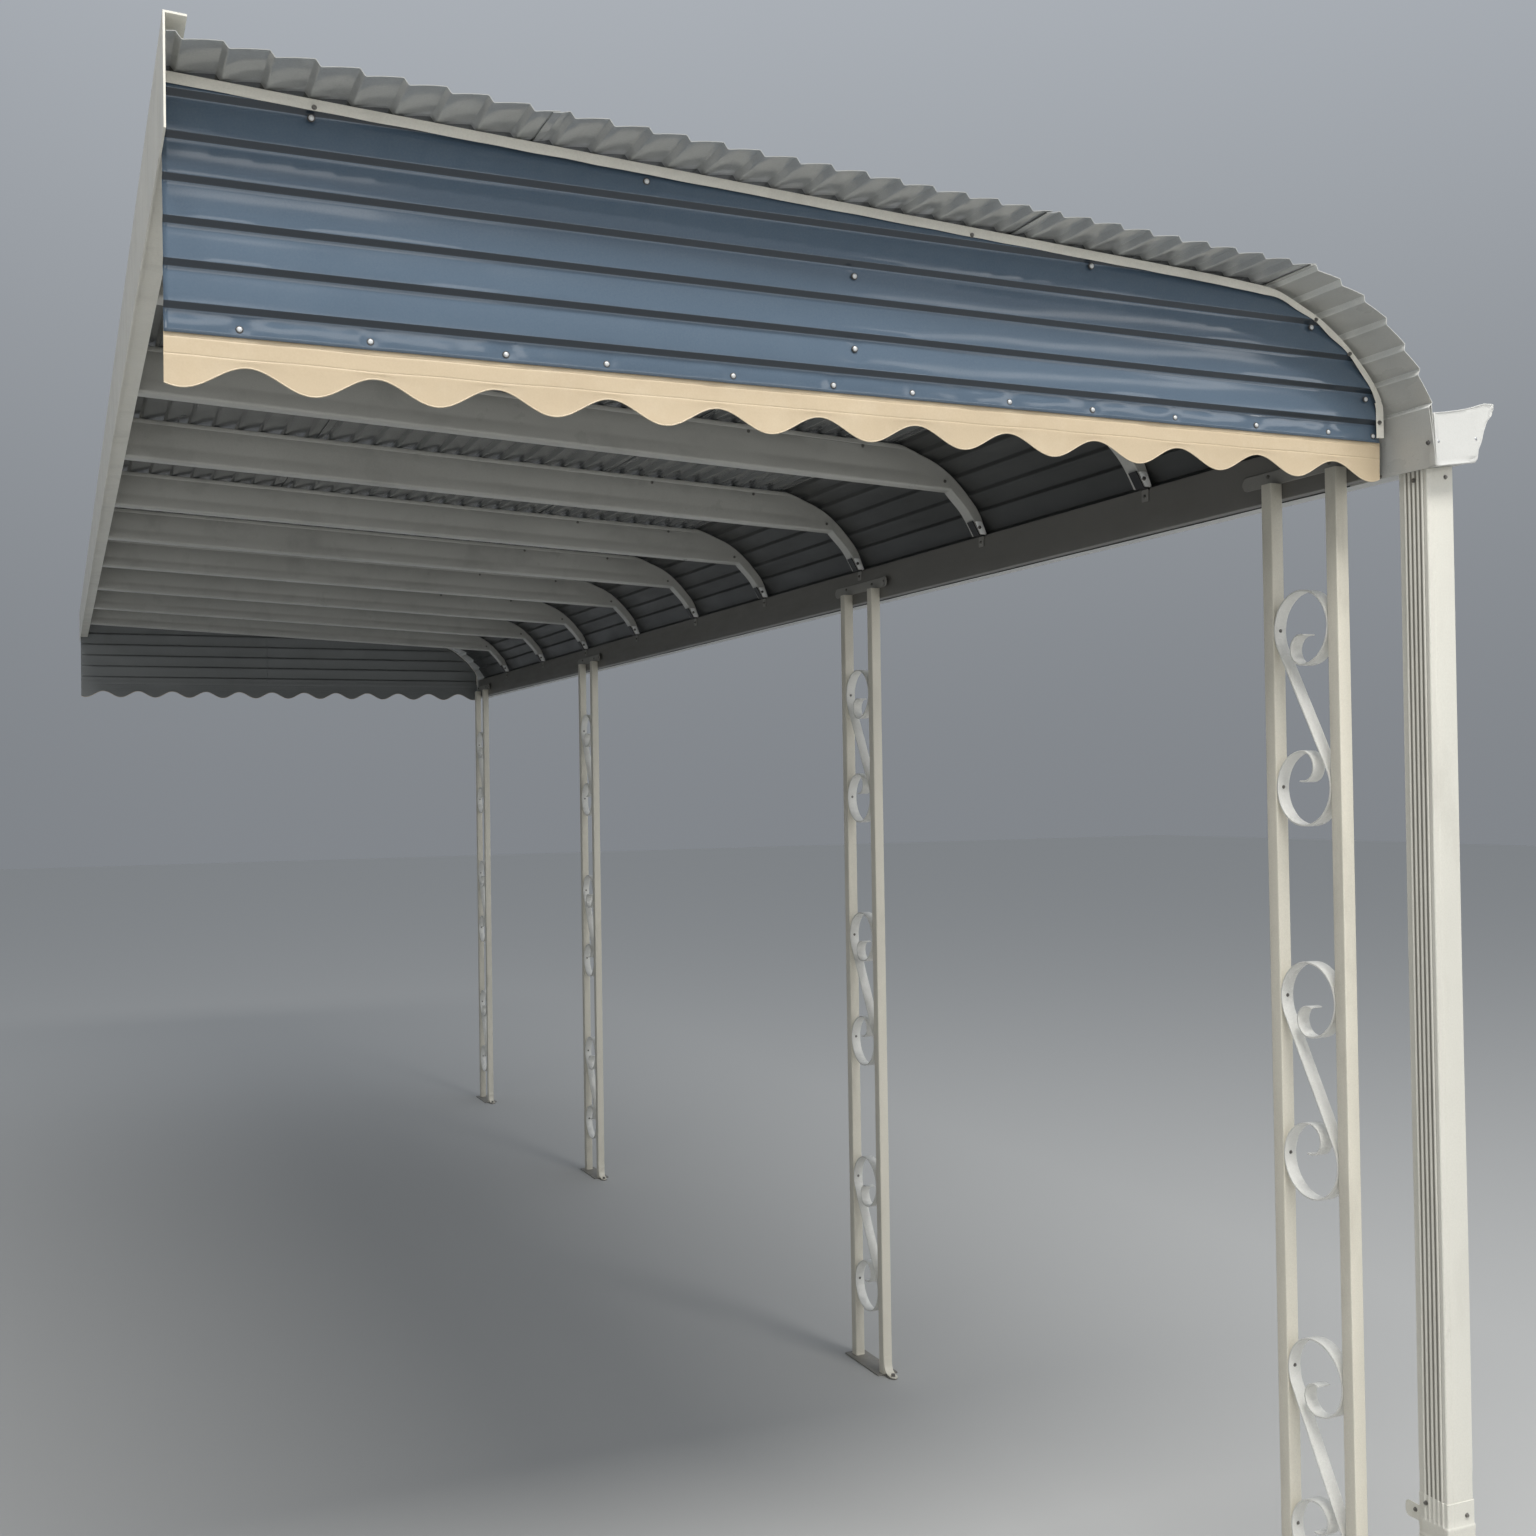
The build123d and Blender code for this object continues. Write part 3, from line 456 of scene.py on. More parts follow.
LOW = np.array([0.0, -1.5])
roof_piece("ribbed_sheet_house", tooth([crest(j) for j in range(0, 9)], [(3.2, CREST_Z0 - 1.5), crest(0)],
                                       [after(crest(8), crest(9)), flat_at(9, 0.72)]),
           "roof_sheet_house", M_ROOF, M_DECK, 3)
roof_piece("ribbed_sheet_middle", tooth([crest(j) for j in range(9, 23)], [flat_at(9, 0.50) + LOW * 1.3, flat_at(9, 0.74) + LOW * 1.3, crest(9)],
                                        [after(crest(22), crest(23)), flat_at(23, 0.72)]),
           "roof_sheet_middle", M_ROOF, M_DECK, 4)
roof_piece("ribbed_sheet_outer", tooth([crest(j) for j in range(23, 33)], [flat_at(23, 0.50) + LOW * 1.3, flat_at(23, 0.74) + LOW * 1.3, crest(23)]),
           "roof_sheet_outer", M_ROOF, M_DECK, 5)
roof_piece("rounded_outer_sheet", tooth(NOSE, [flat_at(32, 0.75) + LOW * 0.9, crest(32) + LOW * 0.9], r=3.2, crown=0.5),
           "roof_nose", M_NOSE, M_NOSE, 6, amp=0.5, inner=(180.0, 220.0), lit_flank=M_NOSE_RIB_LIT, dark=M_NOSE_SHADED)


hem = Mesh()
low_line = even(np.array([(1865.3, 2094.0), (1871.3, 2000.5)]), 5)
for y_a, y_b in ((0.5, 12.0), (ROOF_LEN - 12.0, ROOF_LEN - 0.5)):
    yy_h = np.linspace(y_a, y_b, 4)
    puff = np.array([0.0, 0.35, 0.35, 0.0])
    hem.slab(place(low_line[None, :, 0] - 0.7 - puff[:, None], yy_h[:, None], low_line[None, :, 1]),
             place(low_line[None, :, 0] + 0.3, yy_h[:, None], low_line[None, :, 1]))
hem.build("sheet_end_hem", [M_NOSE], "roof_sheet", sharp=30)


def under_z(x):
    x0, z0 = after(crest(-1), crest(0))
    return z0 - 1.4 - SLOPE * (x - x0)


def roof_under(depth, x0, z_end):
    """Line a given depth under the crests, from x0 out and round the nose to z_end."""
    d = depth * math.hypot(1, SLOPE)
    pts = [crest(0)] + NOSE
    line = [p for p in side(np.array(pts), depth)]
    first = np.array([x0, CREST_Z0 - SLOPE * (x0 - CREST_X0) - d])
    mid = line[1:-1]
    a, b = line[-2], line[-1]
    f = (a[1] - z_end) / (a[1] - b[1])
    return np.array([first] + mid + [a + f * (b - a)])


# ----------------------------------------------------------------- rafters
NEXT = [after(p, q) + 1.8 * np.array([(q - p)[1], -(q - p)[0]]) / np.linalg.norm(q - p) for p, q in zip(NOSE[0:6], NOSE[1:7])]
OUT = [np.array([1618.0, under_z(1618.0)])] + NEXT + [np.array([1857.2, 2087.0])]
ARM_TOP = hermite(OUT, (1, -SLOPE), (0.42, -0.91), 46)
LOW_P = np.array([1766.0, under_z(1766.0) - 90.0])
ARM_IN = hermite([(1838.7, 2087.0), (1808.0, 2139.0), LOW_P], (-0.45, 0.89), (-0.62, 0.78), 26)[::-1]


def rafter_stations():
    """Pairs of points on the top line and on the lower line."""
    x = np.linspace(3.6, 1618.0, 52)
    top = [np.array([v, under_z(v)]) for v in x]
    low = [np.array([v * (1700.0 - 3.6) / (1618.0 - 3.6) + 3.6 * (1 - (1700.0 - 3.6) / (1618.0 - 3.6)), 0]) for v in x]
    low = [np.array([p[0], under_z(p[0]) - 90.0]) for p in low]
    k = 17
    top += list(ARM_TOP[1:k])
    xs = np.linspace(1700.0, 1766.0, k)[1:]
    low += [np.array([v, under_z(v) - 90.0]) for v in xs]
    rest = ARM_TOP[k:]
    top += list(rest)
    low += list(even(ARM_IN, len(rest) + 1)[1:])
    return np.array(top), np.array(low)


TOPS, LOWS = rafter_stations()


def rafter_section(depth, crease):
    """Outer line of the channel: (distance down the web, distance behind the web's face)."""
    w = 35.0
    k = min(1.0, depth / 90.0)
    r0, r1 = 3.0 * k, 6.5 * k
    a, b, c = 0.12 * depth, 0.62 * depth, 0.70 * depth
    pts = [(0.0, w), (0.0, w * 0.5), (0.0, r0)]
    pts += [(r0 * (1 - math.cos(t)), r0 * (1 - math.sin(t))) for t in (0.5, 1.0)]
    pts += [(r0, 0.0), (a - 2.0 * k, 0.0), (a, 0.9 * crease), (a + 2.0 * k, 0.0), ((a + b) / 2, 0.0),
            (b - 3.0 * k, 0.0), (b, 0.6 * crease), (c, 0.6 * crease), (c + 3.0 * k, 0.0), (depth - r1, 0.0)]
    pts += [(depth - r1 + r1 * math.sin(t), r1 * (1 - math.cos(t))) for t in (0.4, 0.8, 1.2)]
    pts += [(depth, r1), (depth, w * 0.55), (depth, w)]
    return np.array(pts)


def build_rafter(i, y0):
    m = Mesh()
    A, B = [], []
    f = ripple(400 + i, 6, 300, 1100)
    for q in range(len(TOPS)):
        t, l = TOPS[q], LOWS[q]
        depth = np.linalg.norm(l - t)
        down = (l - t) / depth
        sec = rafter_section(depth, float(np.clip((1680.0 - t[0]) / 140.0, 0, 1)))
        # inner skin runs the same way round, 1.5 mm inside
        ins = side(sec, -1.5)
        ins[0], ins[-1] = (1.5, sec[0][1]), (depth - 1.5, sec[-1][1])
        wob = 0.5 * f(t[0], np.zeros(1))[0]
        for S, out in ((sec, A), (ins, B)):
            h = np.clip(S[:, 0], 0, depth)
            yb = S[:, 1] + wob * np.sin(np.clip(h / depth, 0, 1) * math.pi)
            out.append(place(t[0] + down[0] * h, y0 + np.maximum(yb, 0.0), t[1] + down[1] * h))
    m.slab(np.array(A), np.array(B))
    return m.build("channel_rafter_%d" % (i + 1), [M_RAFTER], "rafter_grey", ["rafter_%d" % (i + 1)], sharp=30)


for i, y0 in enumerate(RAFTER_Y):
    build_rafter(i, y0)

# header: folded channel; the overhangs in front of the end panels show only the sheet
hdr = rounded([(1857.5, 2084.2), (1857.5, 2086.0), (1850.0, 2086.0), (1850.0, 2000.0), (1871.2, 2000.0), (1871.2, 2004.0)],
              [0, .4, 2.2, 2.6, 1.0, 0], 3)
hdr = split(hdr, 24.0)
hdr_in = side(hdr, -1.4)
ys = np.linspace(114.0, ROOF_LEN - 148.0, 118)
f = ripple(77, 8, 300, 1300)
m = Mesh()
pos = lambda L, up: place(L[None, :, 0] + up[:, None] * 0.5 * (L[None, :, 1] < 2084) * (L[None, :, 1] > 2006), ys[:, None], L[None, :, 1])
up = 0.5 + 0.5 * np.clip(f(ys, 0 * ys), -1, 1)
m.slab(pos(hdr, up), pos(hdr_in, up))
m.build("header_channel", [M_HEADER_SHADED], "trim_cream", ["header"], sharp=30)


# clips that tie the arms' feet to the header
def bent(mesh, line, y0, y1, t, rad, sgn=1, mat=0, bulge=0.0, ny=4):
    """Flat strip bent along a line in x, z; y0 to y1 wide."""
    L = rounded(line, rad, 4)
    L = split(L, 12.0)
    I = side(L, t * sgn)
    y = np.linspace(y0, y1, ny)
    c = bulge * np.sin(np.linspace(0, math.pi, ny))
    A = place(L[None, :, 0], y[:, None], L[None, :, 1] + c[:, None])
    B = place(I[None, :, 0], y[:, None], I[None, :, 1] + c[:, None])
    mesh.slab(A, B, mat)


m, sc = Mesh(), Mesh()
for i, y in enumerate(RAFTER_Y):
    tab = rounded([(1824.5, 2117.0), (1842.5, 2117.0), (1855.5, 2088.0), (1839.0, 2088.0)], 3.0, 4, closed=True)
    # front tab, laid on the web, with softened edge
    c = tab.mean(0)
    ringsp = []
    for grow, yo in ((1.0, -0.0), (1.0, -1.1), (0.955, -1.5)):
        q = c + (tab - c) * grow
        ringsp.append(place(q[:, 0], y + yo, q[:, 1]))
    m.loft(np.array(ringsp))
    # strip from the arm's flange down to the header, near-black: a painted shadow for the channel's shaded open end
    bent(m, [(1819.2, 2117.0), (1836.9, 2086.3), (1849.4, 2086.3), (1849.4, 2083.0)], y - 1.0, y + 25.0, 1.3, 2.2, 1, mat=1)
    # lower leg of the clip on the header, drawn in the darker strap grey: painted shade
    bent(m, [(1849.4, 2084.0), (1849.2, 2072.0), (1849.4, 2060.5)], y + 2.0, y + 23.0, 1.3, 2.2, 1, mat=2)
    hex_screw(sc, (1836.0, y - 1.5, 2103.0), (0, -1, 0), r=5.0, turn=0.3 * i)
    hex_screw(sc, (1848.2, y + 12.5, 2071.0), (-1, 0, 0), r=5.0, turn=0.5 * i)
m.build("foot_clips", [M_CLIP, M_SHADOW_STRIP, M_STRAP_SHADED], "clip_white", ["rafter_clips"], sharp=35)
# screws through the rafters' webs
for i, y in enumerate(RAFTER_Y):
    for j, x in enumerate((1748.0, 1540.0, 1264.0)):
        z = under_z(x) - 15.0 if x < 1700 else 2204.0
        hex_screw(sc, (x, y, z), (0, -1, 0), r=4.8, af=6.4, turn=0.7 * j + i, mat=0)
sc.build("frame_screws", [M_SCREW], "bare_metal", sharp=35)

# ------------------------------------------------------------- end panels
STEPS = [2082.0 + 49.93 * k for k in range(6)]
PANEL_BOTTOM, END_DEPTH = 2050.5, 9.5
PANEL_SCREWS = [(173, 2324), (600, 2305), (1294, 2273), (1707, 2223), (1815, 2118), (902, 2214), (901, 2113)]
BOTTOM_SCREWS = [88, 241, 410, 543, 720, 869, 992, 1151, 1294, 1443, 1597, 1740, 1832]


def trim_line(extra=0.0):
    """Outer edge of the trim, from the rail round the curve, extra mm deeper."""
    base = even(rounded(roof_under(END_DEPTH + 0.8, 4.0, 2057.5), 55.0, 6), 420)
    tang = unit(np.gradient(base, axis=0))
    deep = np.interp(base[:, 0], [1480, 1560, 1605, 1650, 1696, 1722, 1757, 1788, 1813, 1832, 1846], [0.8, 1.0, 3.6, 5.0, 6.2, 7.4, 8.0, 5.4, 2.6, 1.6, 0.6])
    k = np.hanning(41)
    deep = np.convolve(np.pad(deep, 20, mode="edge"), k / k.sum(), mode="valid")
    line = base + np.stack([tang[:, 1], -tang[:, 0]], 1) * (deep + extra)[:, None]
    k = np.hanning(15)
    for c in range(2):
        inner = np.convolve(np.pad(line[:, c], 7, mode="reflect", reflect_type="odd"), k / k.sum(), mode="valid")
        line[:, c] = inner
    return even(line, 190)


def panel_profile():
    pts, rad = [(RIB_DEPTH - 2.5, PANEL_BOTTOM)], [0.0]
    for z in STEPS:
        pts += [(RIB_DEPTH - 0.5, z - RIB_RUN / 2 - 5.2), (RIB_DEPTH, z - RIB_RUN / 2), (0.0, z + RIB_RUN / 2)]
        rad += [10.0, 4.0, 2.2]
    base = rounded(pts + [(3.0, STEPS[-1] + 22)], rad + [0.0], 6)
    out = [base[0]]
    for a, b in zip(base[:-1], base[1:]):
        n = 5 if np.linalg.norm(b - a) > 22 else 1
        for j in range(1, n + 1):
            s = j / n
            bow = -0.5 * math.sin(math.pi * s) if n > 1 else 0
            out.append(a + (b - a) * s + np.array([bow, 0]))
    return np.array(out)


def build_panel(name, node, x0, x1, y_face, sgn, seed, screws):
    prof = panel_profile()
    n = int((x1 - x0) / 6.5)
    x = np.linspace(x0, x1, n)
    X, D = np.meshgrid(x, prof[:, 0], indexing="ij")
    Z = np.meshgrid(x, prof[:, 1], indexing="ij")[1]
    f, g, b = ripple(seed, 12, 140, 620), ripple(seed + 9, 10, 60, 180), ripple(seed + 17, 9, 40, 150)
    foot = np.clip((STEPS[0] - 4.0 - Z) / 12.0, 0, 1)
    D = D + 0.34 * f(X, Z * 1.6) + 0.05 * g(X, Z) + 0.40 * foot * b(X, Z * 0.6)
    for sx, sz in screws:
        D = D + 1.3 * np.exp(-((X - sx) ** 2 + ((Z - sz) * 1.2) ** 2) / (2 * 9.0**2))
    D = np.clip(D, 0.1, None)
    V = place(X, y_face + sgn * D, Z).reshape(-1, 3)
    m, k = X.shape
    i = np.arange(m * k).reshape(m, k)
    q = np.stack([i[:-1, :-1], i[1:, :-1], i[1:, 1:], i[:-1, 1:]], -1).reshape(-1, 4)
    if sgn < 0:
        q = q[:, ::-1]
    me = bpy.data.meshes.new(name)
    me.from_pydata(V.tolist(), [], q.tolist())
    for mt in (M_SLATE, M_BACK, M_STEP_SHADE, M_BACK):
        me.materials.append(mt)
    run = np.diff(prof, axis=0)
    # faces that run down and out under each rib (the steps) take the darker slate copy: painted shade
    step_shade = np.where(run[:, 0] < -0.32 * np.linalg.norm(run, axis=1), 2, 0)
    me.polygons.foreach_set("material_index", np.tile(step_shade, m - 1).astype(np.int32))
    bm = bmesh.new()
    bm.from_mesh(me)
    edge = even(trim_line(1.2), 420)
    edge = np.vstack([edge[:1], edge[edge[:, 0] > 1500.0][::9], edge[-1:]])
    for a, b in zip(edge[:-1], edge[1:]):
        t = b - a
        nrm = Vector((-t[1], 0.0, t[0])).normalized()
        co = Vector(place(a[0], y_face, a[1]).tolist())
        bmesh.ops.bisect_plane(bm, geom=bm.verts[:] + bm.edges[:] + bm.faces[:], dist=1e-6, plane_co=co, plane_no=nrm, clear_outer=True)
    bm.to_mesh(me)
    bm.free()
    me.shade_smooth()
    me.set_sharp_from_angle(angle=math.radians(40))
    o = bpy.data.objects.new(name, me)
    bpy.context.scene.collection.objects.link(o)
    s = o.modifiers.new("thickness", "SOLIDIFY")
    s.thickness = 0.0009
    s.offset = -1
    s.material_offset = 1
    s.material_offset_rim = 0
    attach(o, "root")
    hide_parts(node)
    return o


SC_F = PANEL_SCREWS + [(x, 2060.5) for x in BOTTOM_SCREWS]
build_panel("slate_panel_front", "front_end_panel", 3.1, 1845.0, FRONT_Y, 1, 11, SC_F)
SC_R = [(150, 2326), (330, 2214), (520, 2113), (760, 2300), (1180, 2214), (1500, 2262), (1700, 2223), (1815, 2118)] + [(x, 2060.5) for x in range(70, 1840, 147)]
build_panel("slate_panel_rear_house", "rear_end_panel_house", 3.1, 833.0, REAR_Y, -1, 12, SC_R)
build_panel("slate_panel_rear_outer", "rear_end_panel_outer", 828.0, 1845.0, REAR_Y, -1, 13, SC_R)


# trims over the panels' top edge, the curved part cut by hand
def build_trim(name, node, y_face, sgn, seed):
    m = Mesh()
    out = trim_line()
    tang = unit(np.gradient(out, axis=0))
    nrm = np.stack([tang[:, 1], -tang[:, 0]], 1)
    s = np.concatenate([[0], np.cumsum(np.linalg.norm(np.diff(out, axis=0), axis=1))])
    curve = np.clip((out[:, 0] - 1560.0) / 120.0, 0, 1)
    r = ripple(seed, 7, 30, 90)
    wob = r(s, 0 * s) * (0.35 + 1.5 * curve)
    wide = 14.2 - 4.0 * np.clip((out[:, 0] - 1610.0) / 50.0, 0, 1) * np.clip((out[:, 1] - 2120.0) / 20.0, 0, 1) + wob
    inn = out + nrm * wide[:, None]
    out[:, 0] = np.minimum(out[:, 0], 1849.0)
    inn[:, 0] = np.minimum(inn[:, 0], 1835.4 + 1.0 * r(s, 30 + 0 * s))
    for a, b, lift in ((0, 2110.0, 0.75), (2126.0, 0, 0.0)):
        # upper piece, laid over the lower one
        keep = out[:, 1] > b if a == 0 else (out[:, 1] < a)
        O, I = out[keep], inn[keep]
        if a != 0:
            I = I + np.array([-2.2, 0.0])
        bow = 0.25 * r(s[keep] * 0.4, 11 + 0 * s[keep])
        # section: inner edge, bend, back of the lip, then the same 0.9 mm further in
        y = y_face - sgn * (0.9 + lift)
        front = [place(I[:, 0], y + 0 * bow - sgn * 0.0, I[:, 1]), place((I * 0.5 + O * 0.5)[:, 0], y - sgn * np.maximum(bow, -0.1) * 0.8, (I * 0.5 + O * 0.5)[:, 1]),
                 place((O * 0.93 + I * 0.07)[:, 0], y, (O * 0.93 + I * 0.07)[:, 1]),
                 place(O[:, 0], y + sgn * 1.2, O[:, 1]), place(O[:, 0], y_face + sgn * 21.5, O[:, 1])]
        k = 0.9
        O2 = O * 0.955 + I * 0.045
        back = [place(I[:, 0], y + sgn * k, I[:, 1]), place((I * 0.5 + O2 * 0.5)[:, 0], y + sgn * k - sgn * np.maximum(bow, -0.1) * 0.8, (I * 0.5 + O2 * 0.5)[:, 1]),
                place((O2 * 0.95 + I * 0.05)[:, 0], y + sgn * k, (O2 * 0.95 + I * 0.05)[:, 1]),
                place(O2[:, 0], y + sgn * (1.2 + 0.4), O2[:, 1]), place(O2[:, 0], y_face + sgn * 21.5, O2[:, 1])]
        m.slab(np.stack(front, 1), np.stack(back, 1))
    return m.build(name, [M_TRIM], "trim_cream", [node], sharp=35)


build_trim("edge_trim_front", "front_trim", FRONT_Y, 1, 21)
build_trim("edge_trim_rear", "rear_trim", REAR_Y, -1, 22)


# valances: sheet with a scalloped, hemmed lower edge
def build_valance(name, node, y_face, sgn, seed):
    x0, x1 = 3.1, 1847.0
    n = 300
    x = np.linspace(x0, x1, n)
    wave = 2001.0 - 14.2 * np.cos(2 * math.pi * (x - 22.1) / 150.4)
    rows = [2064.0, 2054.0, 2049.6, 2047.4, 2046.2, 2045.0, 2043.8, 2042.6, 2036.0, 2027.2, 2026.0, 2024.8, 2023.6, 2022.4]
    depth = [0, 0, -1.3, -1.4, -1.4, -0.9, -1.4, -1.4, -1.3, -1.2, -1.2, -0.7, -1.2, -1.2]
    base = y_face + sgn * 9.0
    f, g = ripple(seed, 10, 120, 520), ripple(seed + 3, 8, 40, 130)
    A, M = [], []
    for z, d in zip(rows, depth):
        zz = z + 0.8 * f(x, 5000.0 + 0 * x) * (z < 2049)
        A.append((zz, d + 0 * x))
    for t in (0.2, 0.42, 0.62, 0.8, 0.93):
        A.append((2022.4 + (wave - 2022.4) * t, -1.2 * (1 - t) + 0.35 * math.sin(math.pi * t) + 0 * x))
    A.append((wave + 0.8, 0 * x))
    rowsz = np.array([a[0] for a in A])
    dep = np.array([a[1] for a in A])
    X = np.broadcast_to(x, rowsz.shape)
    lowpart = np.clip((2052.0 - rowsz) / 20.0, 0, 1)
    D = dep + (0.7 * f(X, rowsz * 1.4) + 0.15 * g(X, rowsz)) * lowpart
    yA = base - sgn * 0.0 + sgn * D * 0.8
    m = Mesh()
    front = place(X, yA, rowsz)
    back = place(X, yA + sgn * 0.8, rowsz)
    m.slab(front, back, mat_b=2)
    # folded hem in a lighter copy of the valance paint, a painted highlight that shows as a thin pale edge
    hx = np.linspace(x0, x1, n)
    hw = 2001.0 - 14.2 * np.cos(2 * math.pi * (hx - 22.1) / 150.4)
    dz = np.gradient(hw, hx)
    nrm = unit(np.stack([-dz, np.ones_like(dz)], 1))
    ring = []
    yc = yA[-1] + sgn * 0.4
    for a in np.arange(8) * math.pi / 4:
        ring.append(place(hx + nrm[:, 0] * 0.9 * math.sin(a), yc + 0.9 * math.cos(a), hw + 0.9 + nrm[:, 1] * 0.9 * math.sin(a)))
    m.loft(np.stack(ring, 1), mat=1)
    return m.build(name, [M_BEIGE, M_HEM_LIT, M_BACK], "valance_beige", [node], sharp=30)


build_valance("scalloped_valance_front", "front_valance", FRONT_Y, 1, 31)
build_valance("scalloped_valance_rear", "rear_valance", REAR_Y, -1, 32)

sp, sw = Mesh(), Mesh()
for i, (x, z) in enumerate(PANEL_SCREWS):
    dome_screw(sp, (x, FRONT_Y + 3.4, z), (0, -1, 0))
for i, x in enumerate(BOTTOM_SCREWS):
    dome_screw(sp, (x, FRONT_Y + 7.0, 2060.5), (0, -1, 0), r=3.3)
for x, z in SC_R:
    dome_screw(sp, (x, REAR_Y - (3.4 if z > 2070 else 7.0), z), (0, 1, 0))
mid_trim = trim_line(5.4)
for x, z in [(176, 2337), (1088, 2294)] + [tuple(mid_trim[np.argmin(np.hypot(*(mid_trim - q).T))]) for q in [(1709.0, 2239.0), (1782.0, 2187.0)]] + [(1838.8, 2083.0)]:
    hex_screw(sw, (x, FRONT_Y - 1.0, z - 1.5), (0, -1, 0), r=4.6, af=6.0, h=3.9, turn=x)
    hex_screw(sw, (x, REAR_Y + 1.0, z - 1.5), (0, 1, 0), r=4.6, af=6.0, h=3.9, turn=x)
sp.build("panel_screws", [M_SCREW_W, M_DARK], "bare_metal", sharp=35)
sw.build("trim_screws", [M_SCREW], "bare_metal", sharp=35)

# ------------------------------------------------------ gutter and downspout
G = [(1874.6, 2083.0), (1874.4, 2000.0), (1957.0, 2011.0), (1961.0, 2016.0), (1963.0, 2030.0), (1971.0, 2045.0),
     (1976.0, 2062.0), (1984.0, 2080.0), (1994.5, 2090.0), (1995.0, 2104.0), (1983.0, 2104.5), (1983.0, 2097.0)]
gl = rounded(G, [0, 2.5, 4, 6, 8, 14, 14, 12, 5, 2.2, 2.2, 0], 4)
gl = split(gl, 24.0)
gi = side(gl, -1.0)
ys = np.linspace(5.6, ROOF_LEN - 5.6, 110)
f = ripple(88, 8, 400, 1800)
m = Mesh()
w = f(ys, 0 * ys)
front = np.clip((gl[:, 0] - 1950.0) / 45.0, 0, 1)
GA = place(gl[None, :, 0] + w[:, None] * front * 0.6 - 0.3 * front, ys[:, None], gl[None, :, 1] + 0.5 * w[:, None] * front - 0.3 * front)
GB = place(gi[None, :, 0] + w[:, None] * front * 0.6 - 0.3 * front, ys[:, None], gi[None, :, 1] + 0.5 * w[:, None] * front - 0.3 * front)
m.slab(GA, GB)
m.build("gutter_run", [M_WHITE], "gutter_white", ["gutter"], sharp=30)

CAP = [(1869.2, 2082.5), (1874.0, 1998.0), (1958.0, 2009.5), (1963.0, 2015.0), (1965.0, 2029.0), (1973.0, 2044.0),
       (1978.0, 2061.0), (1986.0, 2078.5), (1996.5, 2088.5), (1997.0, 2105.5), (1976.0, 2105.2), (1951.0, 2098.4), (1922.0, 2091.0), (1892.0, 2085.4)]
for label, y, sgn in (("front", 0.0, 1), ("rear", ROOF_LEN, -1)):
    m = Mesh()
    loop = rounded(CAP, [2, 3, 4, 6, 8, 14, 14, 12, 5, 2.5, 8, 20, 20, 20], 4, closed=True)
    loop = split(np.vstack([loop, loop[:1]]), 9.0)[:-1]
    c = loop.mean(0)
    wv = ripple(91, 5, 30, 90)
    top = np.clip((loop[:, 1] - 2080.0) / 15.0, 0, 1) * np.clip((1990.0 - loop[:, 0]) / 30.0, 0, 1)
    loop[:, 1] += -0.9 * top + 0.8 * top * wv(loop[:, 0], 0 * loop[:, 0])
    rings = []
    # the outer side is pressed back behind the face with a bevel
    bevel = np.clip((loop[:, 0] - 1930.0) / 30.0, 0, 1) * np.clip((2100.0 - loop[:, 1]) / 12.0, 0, 1)
    for inset, d, k in ((2.2, 9.0, 0), (0.6, 9.0, 0), (0.0, 8.2, 0), (0.0, 1.0, 1), (0.5, 0.25, 1), (1.4, 0.0, 1), (2.6, 0.35, 1), (4.0, 0.9, 1), (9.0, 1.0, 0), (13.0, 1.0, 0)):
        q = c + (loop - c) * (1 - inset / 52.0)
        rings.append(place(q[:, 0], y + sgn * (d + 3.4 * k * bevel), q[:, 1]))
    m.loft(np.array(rings), cap=False)
    # face inside the bead, a little uneven, and the inner skin
    n = len(loop)
    last = rings[-1]
    mid = c + (loop - c) * 0.45
    f2 = ripple(95, 5, 40, 120)
    R2 = place(mid[:, 0], y + sgn * (1.2 + 0.3 * f2(mid[:, 0], mid[:, 1])), mid[:, 1])
    m.loft(np.array([last, R2]), cap=False)
    m.add(R2, [list(range(n))])
    back1 = c + (loop - c) * (1 - 2.2 / 52.0)
    R3 = place(back1[:, 0], y + sgn * 9.0, back1[:, 1])
    R4 = place(back1[:, 0], y + sgn * 2.0, back1[:, 1])
    m.loft(np.array([R3, R4]), cap=False)
    m.add(R4, [list(range(n))[::-1]])
    for rx, rz in ((1958.0, 2047.0), (1878.5, 2037.5)):
        m.turned(place(rx, y + sgn * 1.2, rz), (0, -sgn, 0), [(0.0026, -0.0006), (0.0026, 0.0002), (0.0020, 0.0007), (0.0008, 0.0010)], 14, mat=1)
    m.build("gutter_end_%s" % label, [M_WHITE, M_BARE], "gutter_white", ["gutter_cap_%s" % label], sharp=35)

m, sg = Mesh(), Mesh()
for k in range(10):
    y = 330.0 + 635.0 * k
    bent(m, [(1875.9, 2074.2), (1877.0, 2081.4), (1930.0, 2088.6), (1984.0, 2093.2)], y, y + 25.4, 1.2, 3.0, 1, ny=5, bulge=0.5)
    hex_screw(sg, (1876.6, y + 12.7, 2077.4), (-1, 0, 0), r=4.4, af=5.6, h=3.0)
    hex_screw(sg, (1978.0, y + 12.7, 2093.4), (0, 0, 1), r=4.4, af=5.6, h=3.6)
m.build("hanging_straps", [M_BARE], "bare_metal", ["gutter_straps"], sharp=35)

DX0, DX1, DY0, DY1 = 1881.0, 1938.6, 30.0, 91.0
BEADS = (41.0, 50.0, 59.0, 68.0, 77.0)


